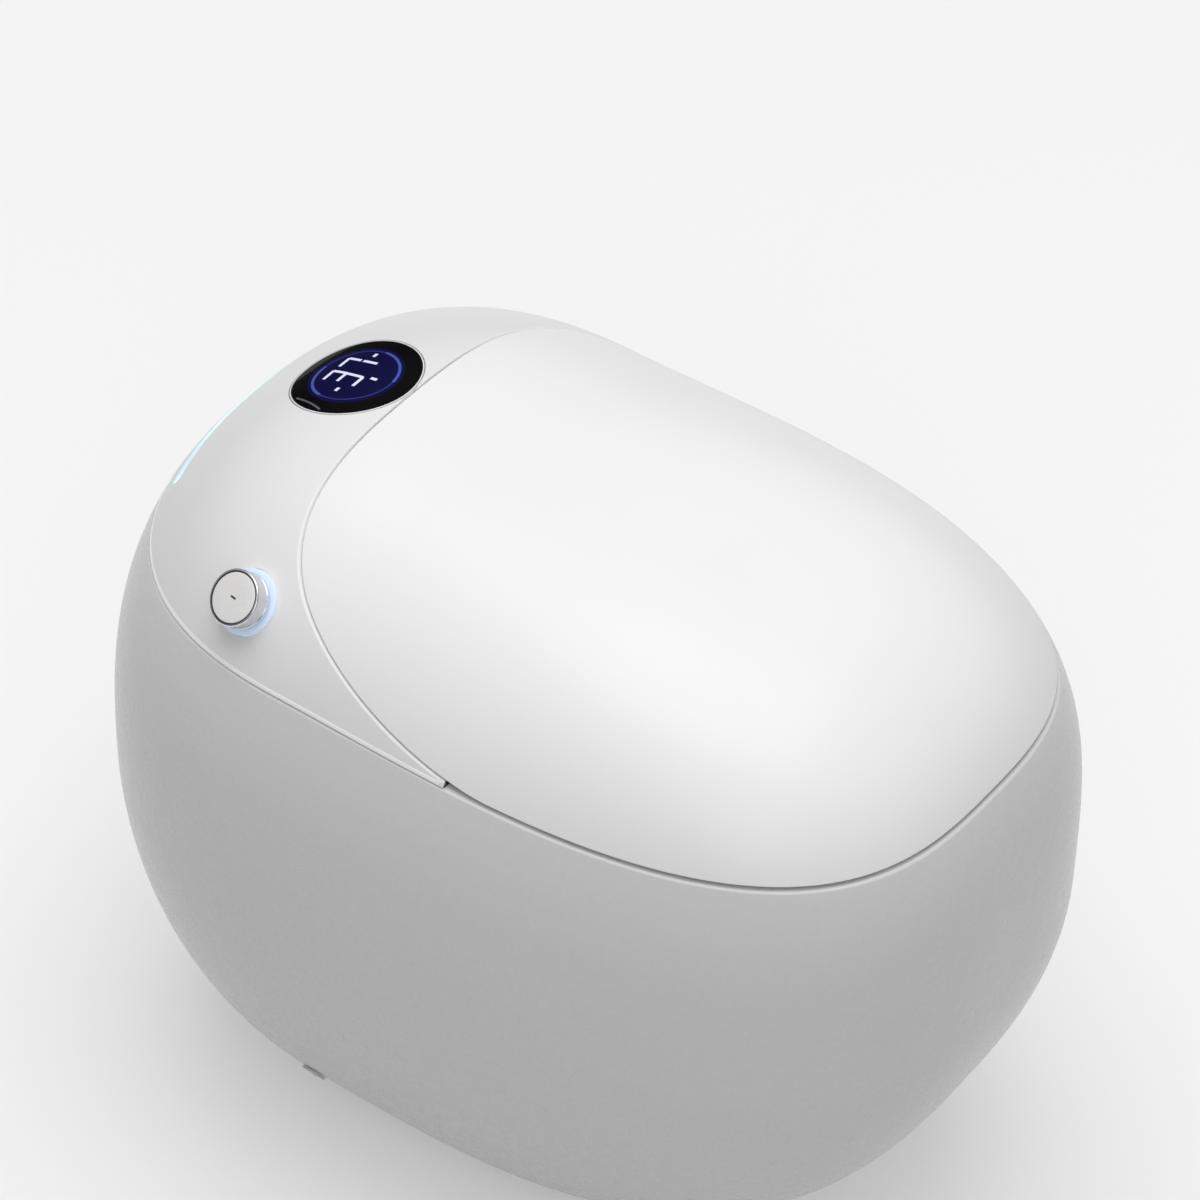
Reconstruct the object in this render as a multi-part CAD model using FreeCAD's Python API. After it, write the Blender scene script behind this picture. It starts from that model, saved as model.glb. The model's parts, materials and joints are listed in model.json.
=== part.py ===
import FreeCAD, Part
import math
import os

# One-piece smart toilet with a heated seat.  Millimetres, +Z up, +Y to the wall,
# -Y to the user's knees.  The origin is the middle of the footprint box on the floor.

V = FreeCAD.Vector
X_AXIS = V(1, 0, 0)
Y_AXIS = V(0, 1, 0)
Z_AXIS = V(0, 0, 1)

# ---------------------------------------------------------------- body outline
HALF_WIDTH = 220.0          # shoulder line to the side, at the widest ring
FRONT_REACH = 403.0         # shoulder line to the front
REAR_REACH = 213.0          # shoulder line to the back
WIDEST_Z = 249.0            # height of the widest ring
CROWN_RISE = 241.0          # widest ring to the crown
BASE_DROP = 305.0           # widest ring to the pole under the floor
FRONT_PLAN_POWER = 2.9      # squareness of the outline seen from above
REAR_PLAN_POWER = 2.35
LOWER_SIDE_POWER = 1.95     # squareness of the outline seen from the side
UPPER_SIDE_POWER = 2.65
FRONT_SQUARING = 1.2        # extra squareness of the upper half towards the front
REAR_SQUARING = 0.15
SHOULDER_Y = (FRONT_REACH - REAR_REACH) / 2
CROWN_Z = WIDEST_Z + CROWN_RISE
RIM_Z = 403.0               # top of the ceramic
EGG_COLUMNS = 48
EGG_RINGS = 24
SPLINE_SWEEPS = 40
BELOW_FLOOR = 8.0           # the outline runs on below the floor before it is cut

# ---------------------------------------------------------------- split lines
LID_LIFT = 2.5              # ceramic rim to the lid's edge
SEAM_GAP = 1.2              # lid to rear housing
SEAM_BACK_Y = SHOULDER_Y + 48.0
SEAM_FRONT_Y = SHOULDER_Y - 155.0
SEAM_TOP_Z = CROWN_Z - 1.0
SEAM_POWER = 1.6
SEAM_POINTS = 12
GASKET = 1.0                # seal between the ceramic and the housing
HOUSING_TIP_Y = SEAM_FRONT_Y + 30.0

# ---------------------------------------------------------------- walls
LID_WALL = 3.0
LINER_WALL = 2.0
BOND_GAP = 0.4              # glue line between two bonded skins
HOUSING_WALL = 3.0
CERAMIC_WALL = 12.0
DECK_THICKNESS = 18.0
PLATE = 3.0
DECK_TOP = RIM_Z + PLATE

# ---------------------------------------------------------------- hinge
HINGE_SETBACK = 25.0        # seam to the hinge line
HINGE_DEPTH = 20.0          # crown to the hinge line
HINGE_Y = SEAM_BACK_Y - HINGE_SETBACK
HINGE_Z = CROWN_Z - HINGE_DEPTH
PIN_R = 3.5
RUNNING = 0.05              # running clearance on a radius
BARREL_R = 9.0
UPRIGHT_X = (18.0, 24.0)
DAMPER_X = (24.0, 41.0)
SEAT_ARM_X = (42.0, 52.0)
LID_LUG_X = (53.5, 61.0)
PIN_HEAD_X = (61.6, 63.6)
PIN_HEAD_R = 5.0

# ---------------------------------------------------------------- bowl and trap
BOWL_SECTIONS = (           # height below the rim, centre y, half width, half length
    (0.0, -97.0, 108.0, 132.0),
    (35.0, -97.0, 110.0, 133.0),
    (85.0, -92.0, 98.0, 118.0),
    (145.0, -82.0, 76.0, 92.0),
    (205.0, -70.0, 52.0, 60.0),
    (260.0, -62.0, 34.0, 38.0),
    (300.0, -58.0, 27.0, 29.0),
    (340.0, -56.0, 20.0, 20.0),
)
BOWL_POWER = 2.4
BOWL_COLUMNS = 24
TRAP_R = 26.0
TRAP_BEND = 40.0
OUTLET_Y = 58.0
TRAP_PATH = ((-56.0, 80.0), (0.0, 80.0), (40.0, 188.0), (112.0, 188.0), (112.0, 98.0))

# ---------------------------------------------------------------- seat
SEAT_BOTTOM = RIM_Z + 4.0
SEAT_HEIGHT = 20.0
SEAT_SPLIT = 6.0            # seat base thickness
SEAT_INSET = 8.5            # body outline to the seat's edge
SEAT_CENTRE_Y = -88.0
SEAT_HOLE = (98.0, 127.0)
SEAT_REAR_Y = 88.0
SEAT_SECTION_POWER = 3.2
SEAT_COLUMNS = 40
SEAT_SECTION_POINTS = 16

# ---------------------------------------------------------------- display, knob, light
DISPLAY_Y = SEAM_BACK_Y + 44.0
DISPLAY_R = 41.5
BEZEL = 1.3
LENS = 2.5
KNOB_Y = SHOULDER_Y + 44.0
KNOB_Z = RIM_Z + 34.0
KNOB_R = 17.8
KNOB_HEIGHT = 15.0
KNOB_PRESS = 1.0
HALO_R = 20.8
LIGHT_Z = RIM_Z + 35.0
LIGHT_SWEEP_R = 290.0
LIGHT_WIDTH = 7.0
LIGHT_HALF_LENGTH = 92.0

# ---------------------------------------------------------------- ceramic details
BAY_INSET = 28.0            # body outline to the opening in the rear deck
BAY_HALF_WIDTH = 125.0
BAY_FRONT_Y = 60.0
NOTCH_HALF_WIDTH = 68.0     # cut in the deck for the spray and dryer outlets
NOTCH_DEPTH = 33.0
PANEL_Y = SHOULDER_Y + REAR_REACH - 30.0
PANEL_HALF_WIDTH = 92.0
PANEL_Z = (148.0, 332.0)
PANEL_LEDGE = 12.0
PANEL_GAP = 1.0
PANEL_THICKNESS = 3.0
FRAME_WALL = 14.0
RIM_ROUND = 3.0
FOOT_HEIGHT = 14.0
FOOT_WIDTH = 30.0
OUTLET_LIFT = 10.0          # floor to the end of the ceramic outlet
SEAL_WALL = 9.0

# ---------------------------------------------------------------- floor fixing
ANCHOR_X = 60.0
ANCHOR_Y = SHOULDER_Y + 5.0
ANCHOR_R = 4.0
BRACKET = (26.0, 44.0, 5.0)     # foot width, length, thickness
BRACKET_HEIGHT = 34.0
SIDE_SCREW_Z = 46.0
SIDE_SCREW_R = 3.0
SIDE_SCREW_HOLE_R = 4.0
CAP_R = 8.0

# ---------------------------------------------------------------- spray wands
WAND_X = 9.0
WAND_R = 6.5
WAND_BORE_R = 6.55
WAND_SLOPE = 20.0           # degrees below level
WAND_TIP_Y = BAY_FRONT_Y - 18.0
WAND_TIP_Z = RIM_Z - 21.0
WAND_LENGTH = 145.0
WAND_TIP_LENGTH = 14.0
WAND_HALF_WIDTH = 17.5      # half width of the blocks that guide both wands
WAND_DIRECTION = V(0, -math.cos(math.radians(WAND_SLOPE)), -math.sin(math.radians(WAND_SLOPE)))

# ---------------------------------------------------------------- dryer and deodoriser
DUCT_X = (21.0, 66.0)
DUCT_WALL = 2.0
DUCT_Z = (RIM_Z - 27.0, RIM_Z)
BLOWER_X = (72.0, 104.0)
BLOWER_R = 14.5
BLOWER_Y = HINGE_Y
BLOWER_Z = DECK_TOP + BLOWER_R + 2.0
FLAP_THICKNESS = 1.6

# ---------------------------------------------------------------- rear fascia
FASCIA_HALF_WIDTH = 130.0
FASCIA_WALL = 2.5
SLOT_X = (40.5, 65.5)
COVER_R = 11.4
FASCIA_Y = SEAT_REAR_Y + 6.0
WALL_Y = SEAM_BACK_Y - 5.0  # front wall of the rear housing
SEAT_LEAN = 0.35            # inward lean of the seat's outer edge per millimetre of height
HEATER = 0.6
DISPLAY_SEAT = LENS + 0.3
FLAP_PIVOT_R = 1.0
FLAP_Y = WAND_TIP_Y + 2.0 - 0.6 - FLAP_THICKNESS / 2
FLAP_Z = DUCT_Z[1] - 5.0
FAN_CENTRE = V(-BLOWER_X[0] - 14, BLOWER_Y, DECK_TOP)
KNOB_STEM_R = 4.0
ENCODER_R = 11.0
KNOB_LIFT = 2.2             # housing to the knob's skirt

# ---------------------------------------------------------------- water and power
SCREW_R = 2.0
SCREW_HEAD_R = 4.0
INLET_R = 10.4
INLET_LENGTH = 20.0
INLET = V(-52.0, PANEL_Y, PANEL_Z[0] + 44)
GLAND_R = 9.0
GLAND_HOLE_R = 4.0
GLAND = V(52.0, PANEL_Y, PANEL_Z[0] + 44)
HOSE_R = 6.0
HOSE_PLACE = (-96.0, SHOULDER_Y + 119.0)
VALVE_TOP_Z = PANEL_Z[0] + 66.0
TANK_WALL = 3.0
TANK_HALF_WIDTH = 84.0
TANK_FRONT_Y = SHOULDER_Y + 60.0
TANK_BOTTOM_Z = 235.0
TANK_TOP_Z = RIM_Z - 3.0
PUMP_TOP = V(53.0, SHOULDER_Y + 105.0, TANK_BOTTOM_Z)
PUMP_R = 28.0
JET_TURN_Y = 20.0
JET_X = 38.0


# ================================================================ small helpers
def box(low, high):
    """A box between two corners."""
    size = V(*high) - V(*low)
    return Part.makeBox(size.x, size.y, size.z, V(*low))


def rod(radius, start, end):
    """A cylinder between two points."""
    axis = end - start
    return Part.makeCylinder(radius, axis.Length, start, axis)


def tube(outer, inner, start, end):
    """A cylinder with a hole along it."""
    overrun = (end - start).normalize()
    return rod(outer, start, end).cut(rod(inner, start - overrun, end + overrun))


def polygon_prism(corners, direction):
    """A flat outline pushed along a direction."""
    points = [V(*corner) for corner in corners]
    face = Part.Face(Part.makePolygon(points + points[:1]))
    return face.extrude(direction)


def side_prism(outline, x_low, x_high):
    """An outline of (y, z) corners pushed from x_low to x_high."""
    corners = [(x_low, y, z) for y, z in outline]
    return polygon_prism(corners, V(x_high - x_low, 0, 0))


def join(shapes):
    """One shape from several that touch or overlap."""
    shapes = list(shapes)
    whole = shapes[0]
    for shape in shapes[1:]:
        whole = whole.fuse(shape)
    return whole.removeSplitter()


def mirrored(shape):
    """The shape and its copy on the other side of the middle plane."""
    return [shape, shape.mirror(V(0, 0, 0), X_AXIS)]


def export(name, shapes):
    """Writes one sub-part: a solid, or a group of separate solids."""
    solids = []
    for shape in shapes if isinstance(shapes, list) else [shapes]:
        solids += shape.Solids
    for solid in solids:
        if not solid.isValid() or solid.Volume <= 0:
            print("BAD SOLID in", name)
    whole = solids[0] if len(solids) == 1 else Part.makeCompound(solids)
    whole.exportStep("parts/" + name + ".step")
    print(f"{name}: {len(solids)} solid(s), {sum(s.Volume for s in solids) / 1000:.1f} cm3")


# ================================================================ smooth surfaces
def closed_poles(points):
    """Control points of the smooth closed curve through points."""
    poles = list(points)
    count = len(points)
    for _ in range(SPLINE_SWEEPS):
        for i in range(count):
            around = poles[i - 1] + poles[(i + 1) % count]
            poles[i] = (points[i] * 6 - around) * 0.25
    return poles


def open_poles(points, start, end):
    """Control points of the smooth curve through points with given end slopes."""
    count = len(points)
    slopes = [start] + [(points[i + 1] - points[i - 1]) * 0.5 for i in range(1, count - 1)] + [end]
    for _ in range(SPLINE_SWEEPS):
        for i in range(1, count - 1):
            chord = (points[i + 1] - points[i - 1]) * 3
            slopes[i] = (chord - slopes[i - 1] - slopes[i + 1]) * 0.25
    poles = [points[0], points[0] + slopes[0] * (1 / 3)]
    for i in range(1, count - 1):
        near = points[i] + slopes[i] * (1 / 3)
        far = points[i + 1] - slopes[i + 1] * (1 / 3)
        poles.append(near * 2 - far)
    poles.append(points[-1] - slopes[-1] * (1 / 3))
    poles.append(points[-1])
    return poles


def closed_curve(points):
    """The smooth closed curve through points."""
    count = len(points)
    curve = Part.BSplineCurve()
    knots = [float(i) for i in range(count + 1)]
    curve.buildFromPolesMultsKnots(closed_poles(points), [1] * (count + 1), knots, True, 3)
    return curve


def plan_reach(turn, inset):
    """Shoulder line to the widest ring, in the direction turn."""
    rear = math.sin(turn) > 0
    power = REAR_PLAN_POWER if rear else FRONT_PLAN_POWER
    reach = (REAR_REACH if rear else FRONT_REACH) - inset
    across = abs(math.cos(turn)) / (HALF_WIDTH - inset)
    along = abs(math.sin(turn)) / reach
    return (across**power + along**power) ** (-1 / power)


def side_power(turn, inset, upper):
    """Squareness of the side outline in the direction turn."""
    if not upper:
        return LOWER_SIDE_POWER
    rear = math.sin(turn) > 0
    reach = (REAR_REACH if rear else FRONT_REACH) - inset
    lengthwise = abs(math.sin(turn)) * plan_reach(turn, inset) / reach
    return UPPER_SIDE_POWER + (REAR_SQUARING if rear else FRONT_SQUARING) * lengthwise**2


def egg_point(turn, rise, inset):
    """A point of the body's outline, set inwards by inset."""
    upper = rise > 0
    power = side_power(turn, inset, upper)
    size = (math.cos(rise) ** power + abs(math.sin(rise)) ** power) ** (-1 / power)
    reach = size * math.cos(rise) * plan_reach(turn, inset)
    height = (CROWN_RISE if upper else BASE_DROP) - inset
    z = WIDEST_Z + height * size * math.sin(rise)
    return V(reach * math.cos(turn), SHOULDER_Y + reach * math.sin(turn), z)


def lowest_rise(inset):
    """The rise whose ring lies just below the floor."""
    q = (WIDEST_Z + BELOW_FLOOR) / (BASE_DROP - inset)
    s = (1 - q**LOWER_SIDE_POWER) ** (1 / LOWER_SIDE_POWER)
    return -math.atan2(q, s)


EGGS = {}


def egg(inset):
    """The body's outline as a closed solid, set inwards by inset, cut under the floor."""
    if inset in EGGS:
        return EGGS[inset]
    low = lowest_rise(inset)
    step = (math.pi / 2 - low) / EGG_RINGS
    turns = [2 * math.pi * i / EGG_COLUMNS for i in range(EGG_COLUMNS)]
    rings = []
    for k in range(EGG_RINGS + 1):
        rise = min(low + step * k, math.pi / 2)
        rings.append(closed_poles([egg_point(turn, rise, inset) for turn in turns]))
    small = step / 100
    starts = []
    ends = []
    for turn in turns:
        rising = egg_point(turn, low + small, inset) - egg_point(turn, low, inset)
        starts.append(rising * (step / small))
        reach = plan_reach(turn, inset) * step
        ends.append(V(-reach * math.cos(turn), -reach * math.sin(turn), 0))
    starts = closed_poles(starts)
    ends = closed_poles(ends)
    grid = []
    for i in range(EGG_COLUMNS):
        grid.append(open_poles([ring[i] for ring in rings], starts[i], ends[i]))
    surface = Part.BSplineSurface()
    u_mults = [1] * (EGG_COLUMNS + 1)
    v_mults = [4] + [1] * (EGG_RINGS - 1) + [4]
    u_knots = [float(i) for i in range(EGG_COLUMNS + 1)]
    v_knots = [float(i) for i in range(EGG_RINGS + 1)]
    surface.buildFromPolesMultsKnots(
        grid, u_mults, v_mults, u_knots, v_knots, True, False, 3, 3
    )
    side = surface.toShape()
    level = egg_point(0, low, inset).z
    rim = [e for e in side.Edges if abs(e.BoundBox.ZMax - level) < 0.01 and e.Length > 10]
    cap = Part.Face(Part.Wire(rim[:1]))
    cap.reverse()
    EGGS[inset] = Part.makeSolid(Part.makeShell([side, cap]))
    return EGGS[inset]


def egg_shell(outer_inset, inner_inset):
    """The skin between two insets of the outline."""
    return egg(outer_inset).cut(egg(inner_inset))


def top_height(x, y, inset=0.0):
    """Height of the upper half of the outline above a place in plan."""
    dy = y - SHOULDER_Y
    rear = dy > 0
    reach = (REAR_REACH if rear else FRONT_REACH) - inset
    power = REAR_PLAN_POWER if rear else FRONT_PLAN_POWER
    across = abs(x) / (HALF_WIDTH - inset)
    along = abs(dy) / reach
    spread = (across**power + along**power) ** (1 / power)
    if spread >= 1:
        return WIDEST_Z
    lengthwise = along / spread if spread > 0 else 0.0
    side = UPPER_SIDE_POWER + (REAR_SQUARING if rear else FRONT_SQUARING) * lengthwise**2
    return WIDEST_Z + (CROWN_RISE - inset) * (1 - spread**side) ** (1 / side)


def bisect(function, low, high):
    """The place between low and high where function changes sign."""
    sign = function(low) > 0
    for _ in range(50):
        middle = (low + high) / 2
        if (function(middle) > 0) == sign:
            low = middle
        else:
            high = middle
    return (low + high) / 2


def side_x(y, z):
    """Half width of the upper half of the outline at a height and station."""
    return bisect(lambda x: top_height(x, y) - z, 0.0, HALF_WIDTH)


def outward(x, y):
    """The outline's outward direction above a place in plan."""
    step = 0.5
    slope_x = (top_height(x + step, y) - top_height(x - step, y)) / (2 * step)
    slope_y = (top_height(x, y + step) - top_height(x, y - step)) / (2 * step)
    return V(-slope_x, -slope_y, 1).normalize()


# ================================================================ lid and housing split
def seam_z(y, gap=0.0):
    """Height of the lid's rear edge at a station, seen from the side."""
    length = SEAM_BACK_Y - SEAM_FRONT_Y + gap
    drop = SEAM_TOP_Z - RIM_Z - LID_LIFT + gap
    share = min(max((y - SEAM_FRONT_Y) / length, 0.0), 1.0)
    return SEAM_TOP_Z - drop * (1 - share**SEAM_POWER) ** (1 / SEAM_POWER)


def seam_edge(gap, first_y):
    """The lid's rear edge seen from the side, as a curve in the middle plane."""
    length = SEAM_BACK_Y - SEAM_FRONT_Y + gap
    share = max((first_y - SEAM_FRONT_Y) / length, 0.0)
    first = math.acos(share ** (SEAM_POWER / 2))
    points = []
    for i in range(SEAM_POINTS + 1):
        turn = first * (1 - i / SEAM_POINTS)
        y = SEAM_FRONT_Y + length * math.cos(turn) ** (2 / SEAM_POWER)
        points.append(V(0, y, seam_z(y, gap)))
    curve = Part.BSplineCurve()
    curve.interpolate(points)
    return curve.toShape(), points[0], points[-1]


def across_prism(edge, start, end, corners):
    """The curve from start to end, closed over corners of (y, z), pushed across the body."""
    points = [end] + [V(0, y, z) for y, z in corners] + [start]
    wire = Part.Wire([edge] + Part.makePolygon(points).Edges)
    wide = HALF_WIDTH + 10.0
    face = Part.Face(wire)
    face.translate(V(-wide, 0, 0))
    return face.extrude(V(2 * wide, 0, 0))


def lid_space(margin, bottom):
    """Everything on the lid's side of the seam, less a margin."""
    edge, start, end = seam_edge(-margin, SEAM_FRONT_Y)
    above = CROWN_Z + 20.0
    front = SHOULDER_Y - FRONT_REACH - 20.0
    corners = [(end.y, above), (front, above), (front, bottom), (SEAM_FRONT_Y, bottom)]
    space = across_prism(edge, start, end, corners)
    return space.common(slab(bottom, above))


def housing_space():
    """Everything on the rear housing's side of the seam."""
    edge, start, end = seam_edge(SEAM_GAP, HOUSING_TIP_Y)
    above = CROWN_Z + 20.0
    back = SHOULDER_Y + REAR_REACH + 20.0
    bottom = RIM_Z + GASKET
    corners = [(end.y, above), (back, above), (back, bottom), (HOUSING_TIP_Y, bottom)]
    return across_prism(edge, start, end, corners)


def slab(low, high):
    """A level layer as wide and long as the body."""
    wide = HALF_WIDTH + 15.0
    front = SHOULDER_Y - FRONT_REACH - 25.0
    back = SHOULDER_Y + REAR_REACH + 25.0
    return box((-wide, front, low), (wide, back, high))


def band(y_low, y_high, z_low, z_high):
    """A box across the whole width."""
    wide = HALF_WIDTH + 15.0
    return box((-wide, y_low, z_low), (wide, y_high, z_high))


def seam_at(x):
    """Station of the lid's rear edge on the body at a distance from the middle."""
    return bisect(lambda y: top_height(x, y) - seam_z(y), SEAM_FRONT_Y, SEAM_BACK_Y - 0.001)


def seam_radius(x):
    """Hinge line to the lid's rear edge at a distance from the middle."""
    y = seam_at(x) if top_height(x, SEAM_BACK_Y) < SEAM_TOP_Z else SEAM_BACK_Y
    return math.hypot(y - HINGE_Y, top_height(x, y) - HINGE_Z)


def lid_swing(gap):
    """The room that the lid's rear edge sweeps about the hinge line, plus a gap."""
    reach = bisect(lambda x: seam_at(x) - HINGE_Y, 1.0, HALF_WIDTH - 15.0)
    points = []
    for i in range(-8, 9):
        x = reach * i / 8
        points.append(V(x, HINGE_Y + seam_radius(abs(x)) + gap, HINGE_Z))
    curve = Part.BSplineCurve()
    curve.interpolate(points)
    ends = [points[-1], V(reach, HINGE_Y, HINGE_Z), V(-reach, HINGE_Y, HINGE_Z), points[0]]
    wire = Part.Wire([curve.toShape()] + Part.makePolygon(ends).Edges)
    return Part.Face(wire).revolve(V(0, HINGE_Y, HINGE_Z), X_AXIS, 360)


# ================================================================ lofted rings
def oval(centre_y, half_width, half_length, z, power=BOWL_POWER, columns=BOWL_COLUMNS):
    """A closed oval at a height."""
    points = []
    for i in range(columns):
        turn = 2 * math.pi * i / columns
        size = abs(math.cos(turn)) ** power + abs(math.sin(turn)) ** power
        size = size ** (-1 / power)
        x = half_width * size * math.cos(turn)
        points.append(V(x, centre_y + half_length * size * math.sin(turn), z))
    return Part.Wire([closed_curve(points).toShape()])


def bowl(wall, top_z):
    """The bowl's inside, or with a wall the ceramic around it, up to top_z."""
    wires = []
    for drop, centre_y, half_width, half_length in BOWL_SECTIONS:
        z = RIM_Z - drop - (wall if drop == BOWL_SECTIONS[-1][0] else 0.0)
        wires.append(oval(centre_y, half_width + wall, half_length + wall, z))
    top = BOWL_SECTIONS[0]
    if top_z > RIM_Z:
        wires.insert(0, oval(top[1], top[2] + wall, top[3] + wall, top_z))
    wires.reverse()
    return Part.makeLoft(wires, True, False)


def bent_path(points, bend):
    """Straight runs between points with an arc of radius bend at each corner."""
    edges = []
    start = points[0]
    for i in range(1, len(points) - 1):
        corner = points[i]
        back = (points[i - 1] - corner).normalize()
        on = (points[i + 1] - corner).normalize()
        half = back.getAngle(on) / 2
        cut = bend / math.tan(half)
        first = corner + back * cut
        last = corner + on * cut
        middle = (back + on).normalize()
        top = corner + middle * (bend / math.sin(half) - bend)
        edges.append(Part.LineSegment(start, first).toShape())
        edges.append(Part.Arc(first, top, last).toShape())
        start = last
    edges.append(Part.LineSegment(start, points[-1]).toShape())
    return Part.Wire(edges)


def pipe(points, bend, radius):
    """A round bar along a bent path."""
    path = bent_path(points, bend)
    start = points[0]
    ring = Part.Wire([Part.makeCircle(radius, start, points[1] - start)])
    return path.makePipeShell([ring], True, True)


# ================================================================ ceramic
def trap(radius):
    """The trapway from the bowl's sump to the floor outlet, at a radius."""
    points = [V(0, y, z) for y, z in TRAP_PATH]
    last = TRAP_PATH[-1]
    points.append(V(0, OUTLET_Y, last[1] - (last[0] - OUTLET_Y)))
    points.append(V(0, OUTLET_Y, 0))
    return pipe(points, TRAP_BEND, radius)


def ceramic_body():
    """Skirt, rim, bowl, trapway and deck in one piece, hollow under the bowl."""
    outside = egg(0.0).common(slab(0.0, RIM_Z))
    rim_edges = [e for e in outside.Edges if e.BoundBox.ZMin > RIM_Z - 0.1]
    body = outside.makeFillet(RIM_ROUND, rim_edges)
    body = body.cut(egg(CERAMIC_WALL).common(slab(-5.0, RIM_Z - DECK_THICKNESS)))
    foot = egg_shell(CERAMIC_WALL / 2, FOOT_WIDTH).common(slab(0.0, FOOT_HEIGHT))
    back = SHOULDER_Y + REAR_REACH
    outer = PANEL_HALF_WIDTH + FRAME_WALL
    frame = box((-outer, PANEL_Y - FRAME_WALL, PANEL_Z[0] - FRAME_WALL),
                (outer, back, PANEL_Z[1] + FRAME_WALL)).common(egg(CERAMIC_WALL / 2))
    below_rim = slab(0.0, RIM_Z - RIM_ROUND)
    lining = bowl(CERAMIC_WALL, RIM_Z - RIM_ROUND).common(below_rim)
    waste = trap(TRAP_R + CERAMIC_WALL).common(slab(OUTLET_LIFT, RIM_Z))
    for piece in (foot, frame, lining, waste):
        body = body.fuse(piece)
    body = body.cut(bowl(0.0, RIM_Z + 5.0)).cut(trap(TRAP_R))
    bay = egg(BAY_INSET).common(band(BAY_FRONT_Y, back, RIM_Z - DECK_THICKNESS - 1, RIM_Z + 5))
    bay = bay.common(box((-BAY_HALF_WIDTH, 0, 0), (BAY_HALF_WIDTH, back, CROWN_Z)))
    notch = box((-NOTCH_HALF_WIDTH, WAND_TIP_Y - 30.0, RIM_Z - NOTCH_DEPTH),
                (NOTCH_HALF_WIDTH, BAY_FRONT_Y + 20.0, RIM_Z + 5))
    recess = box((-PANEL_HALF_WIDTH, PANEL_Y, PANEL_Z[0]), (PANEL_HALF_WIDTH, back + 5, PANEL_Z[1]))
    inner = PANEL_HALF_WIDTH - PANEL_LEDGE
    window = box((-inner, PANEL_Y - FRAME_WALL - 5, PANEL_Z[0] + PANEL_LEDGE),
                 (inner, back + 5, PANEL_Z[1] - PANEL_LEDGE))
    jet = rod(5.0, jet_path()[1], jet_path()[2])
    for gap in (bay, notch, recess, window, jet):
        body = body.cut(gap)
    for sign in (-1, 1):
        side = V(sign * HALF_WIDTH, ANCHOR_Y, SIDE_SCREW_Z)
        body = body.cut(rod(SIDE_SCREW_HOLE_R, V(0, ANCHOR_Y, SIDE_SCREW_Z), side))
    return body


def floor_seal():
    """Foam ring between the ceramic outlet and the drain."""
    outer = TRAP_R + CERAMIC_WALL
    ring = tube(outer, TRAP_R + SEAL_WALL / 3, V(0, OUTLET_Y, 0.5), V(0, OUTLET_Y, OUTLET_LIFT))
    return ring


def skirt_x(z, inset=0.0):
    """Half width of the lower half of the outline at the shoulder, at a height."""
    drop = (WIDEST_Z - z) / (BASE_DROP - inset)
    return (HALF_WIDTH - inset) * (1 - drop**LOWER_SIDE_POWER) ** (1 / LOWER_SIDE_POWER)


def floor_bracket():
    """Angle that holds the skirt to a floor anchor, on the +X side."""
    width, length, thickness = BRACKET
    outer = skirt_x(SIDE_SCREW_Z - 10.0, CERAMIC_WALL) - 2.0
    base_end = skirt_x(0.0, FOOT_WIDTH) - 3.0
    low_y = ANCHOR_Y - length / 2
    high_y = ANCHOR_Y + length / 2
    foot = box((ANCHOR_X - width / 2, low_y, 0.0), (base_end, high_y, thickness))
    post = box((base_end - thickness, low_y, 0.0), (base_end, high_y, SIDE_SCREW_Z))
    block = box((base_end - thickness, low_y + 8, SIDE_SCREW_Z - 10), (outer, high_y - 8, SIDE_SCREW_Z + 10))
    bracket = join([foot, post, block])
    bracket = bracket.cut(rod(ANCHOR_R, V(ANCHOR_X, ANCHOR_Y, -1), V(ANCHOR_X, ANCHOR_Y, thickness + 1)))
    start = V(base_end - thickness - 2, ANCHOR_Y, SIDE_SCREW_Z)
    return bracket.cut(rod(SIDE_SCREW_R + RUNNING, start, V(HALF_WIDTH, ANCHOR_Y, SIDE_SCREW_Z)))


def side_screw():
    """Screw through the skirt into the floor bracket, on the +X side."""
    base_end = skirt_x(0.0, FOOT_WIDTH) - 3.0
    surface = skirt_x(SIDE_SCREW_Z)
    start = V(base_end, ANCHOR_Y, SIDE_SCREW_Z)
    shank = rod(SIDE_SCREW_R, start, V(surface + 1.0, ANCHOR_Y, SIDE_SCREW_Z))
    return shank


def screw_cap():
    """Cover over the side screw, on the +X side, following the skirt."""
    surface = skirt_x(SIDE_SCREW_Z)
    disc = rod(CAP_R, V(surface - 10, ANCHOR_Y, SIDE_SCREW_Z), V(surface + 10, ANCHOR_Y, SIDE_SCREW_Z))
    cap = disc.common(egg(-2.2).cut(egg(-0.3)))
    stem = rod(SIDE_SCREW_HOLE_R - 0.2, V(surface - 6, ANCHOR_Y, SIDE_SCREW_Z),
               V(surface + 3, ANCHOR_Y, SIDE_SCREW_Z)).common(egg(-1.5))
    hole = rod(SIDE_SCREW_R + 0.2, V(surface - 8, ANCHOR_Y, SIDE_SCREW_Z),
               V(surface + 1.2, ANCHOR_Y, SIDE_SCREW_Z))
    return cap.fuse(stem).cut(hole)


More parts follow.
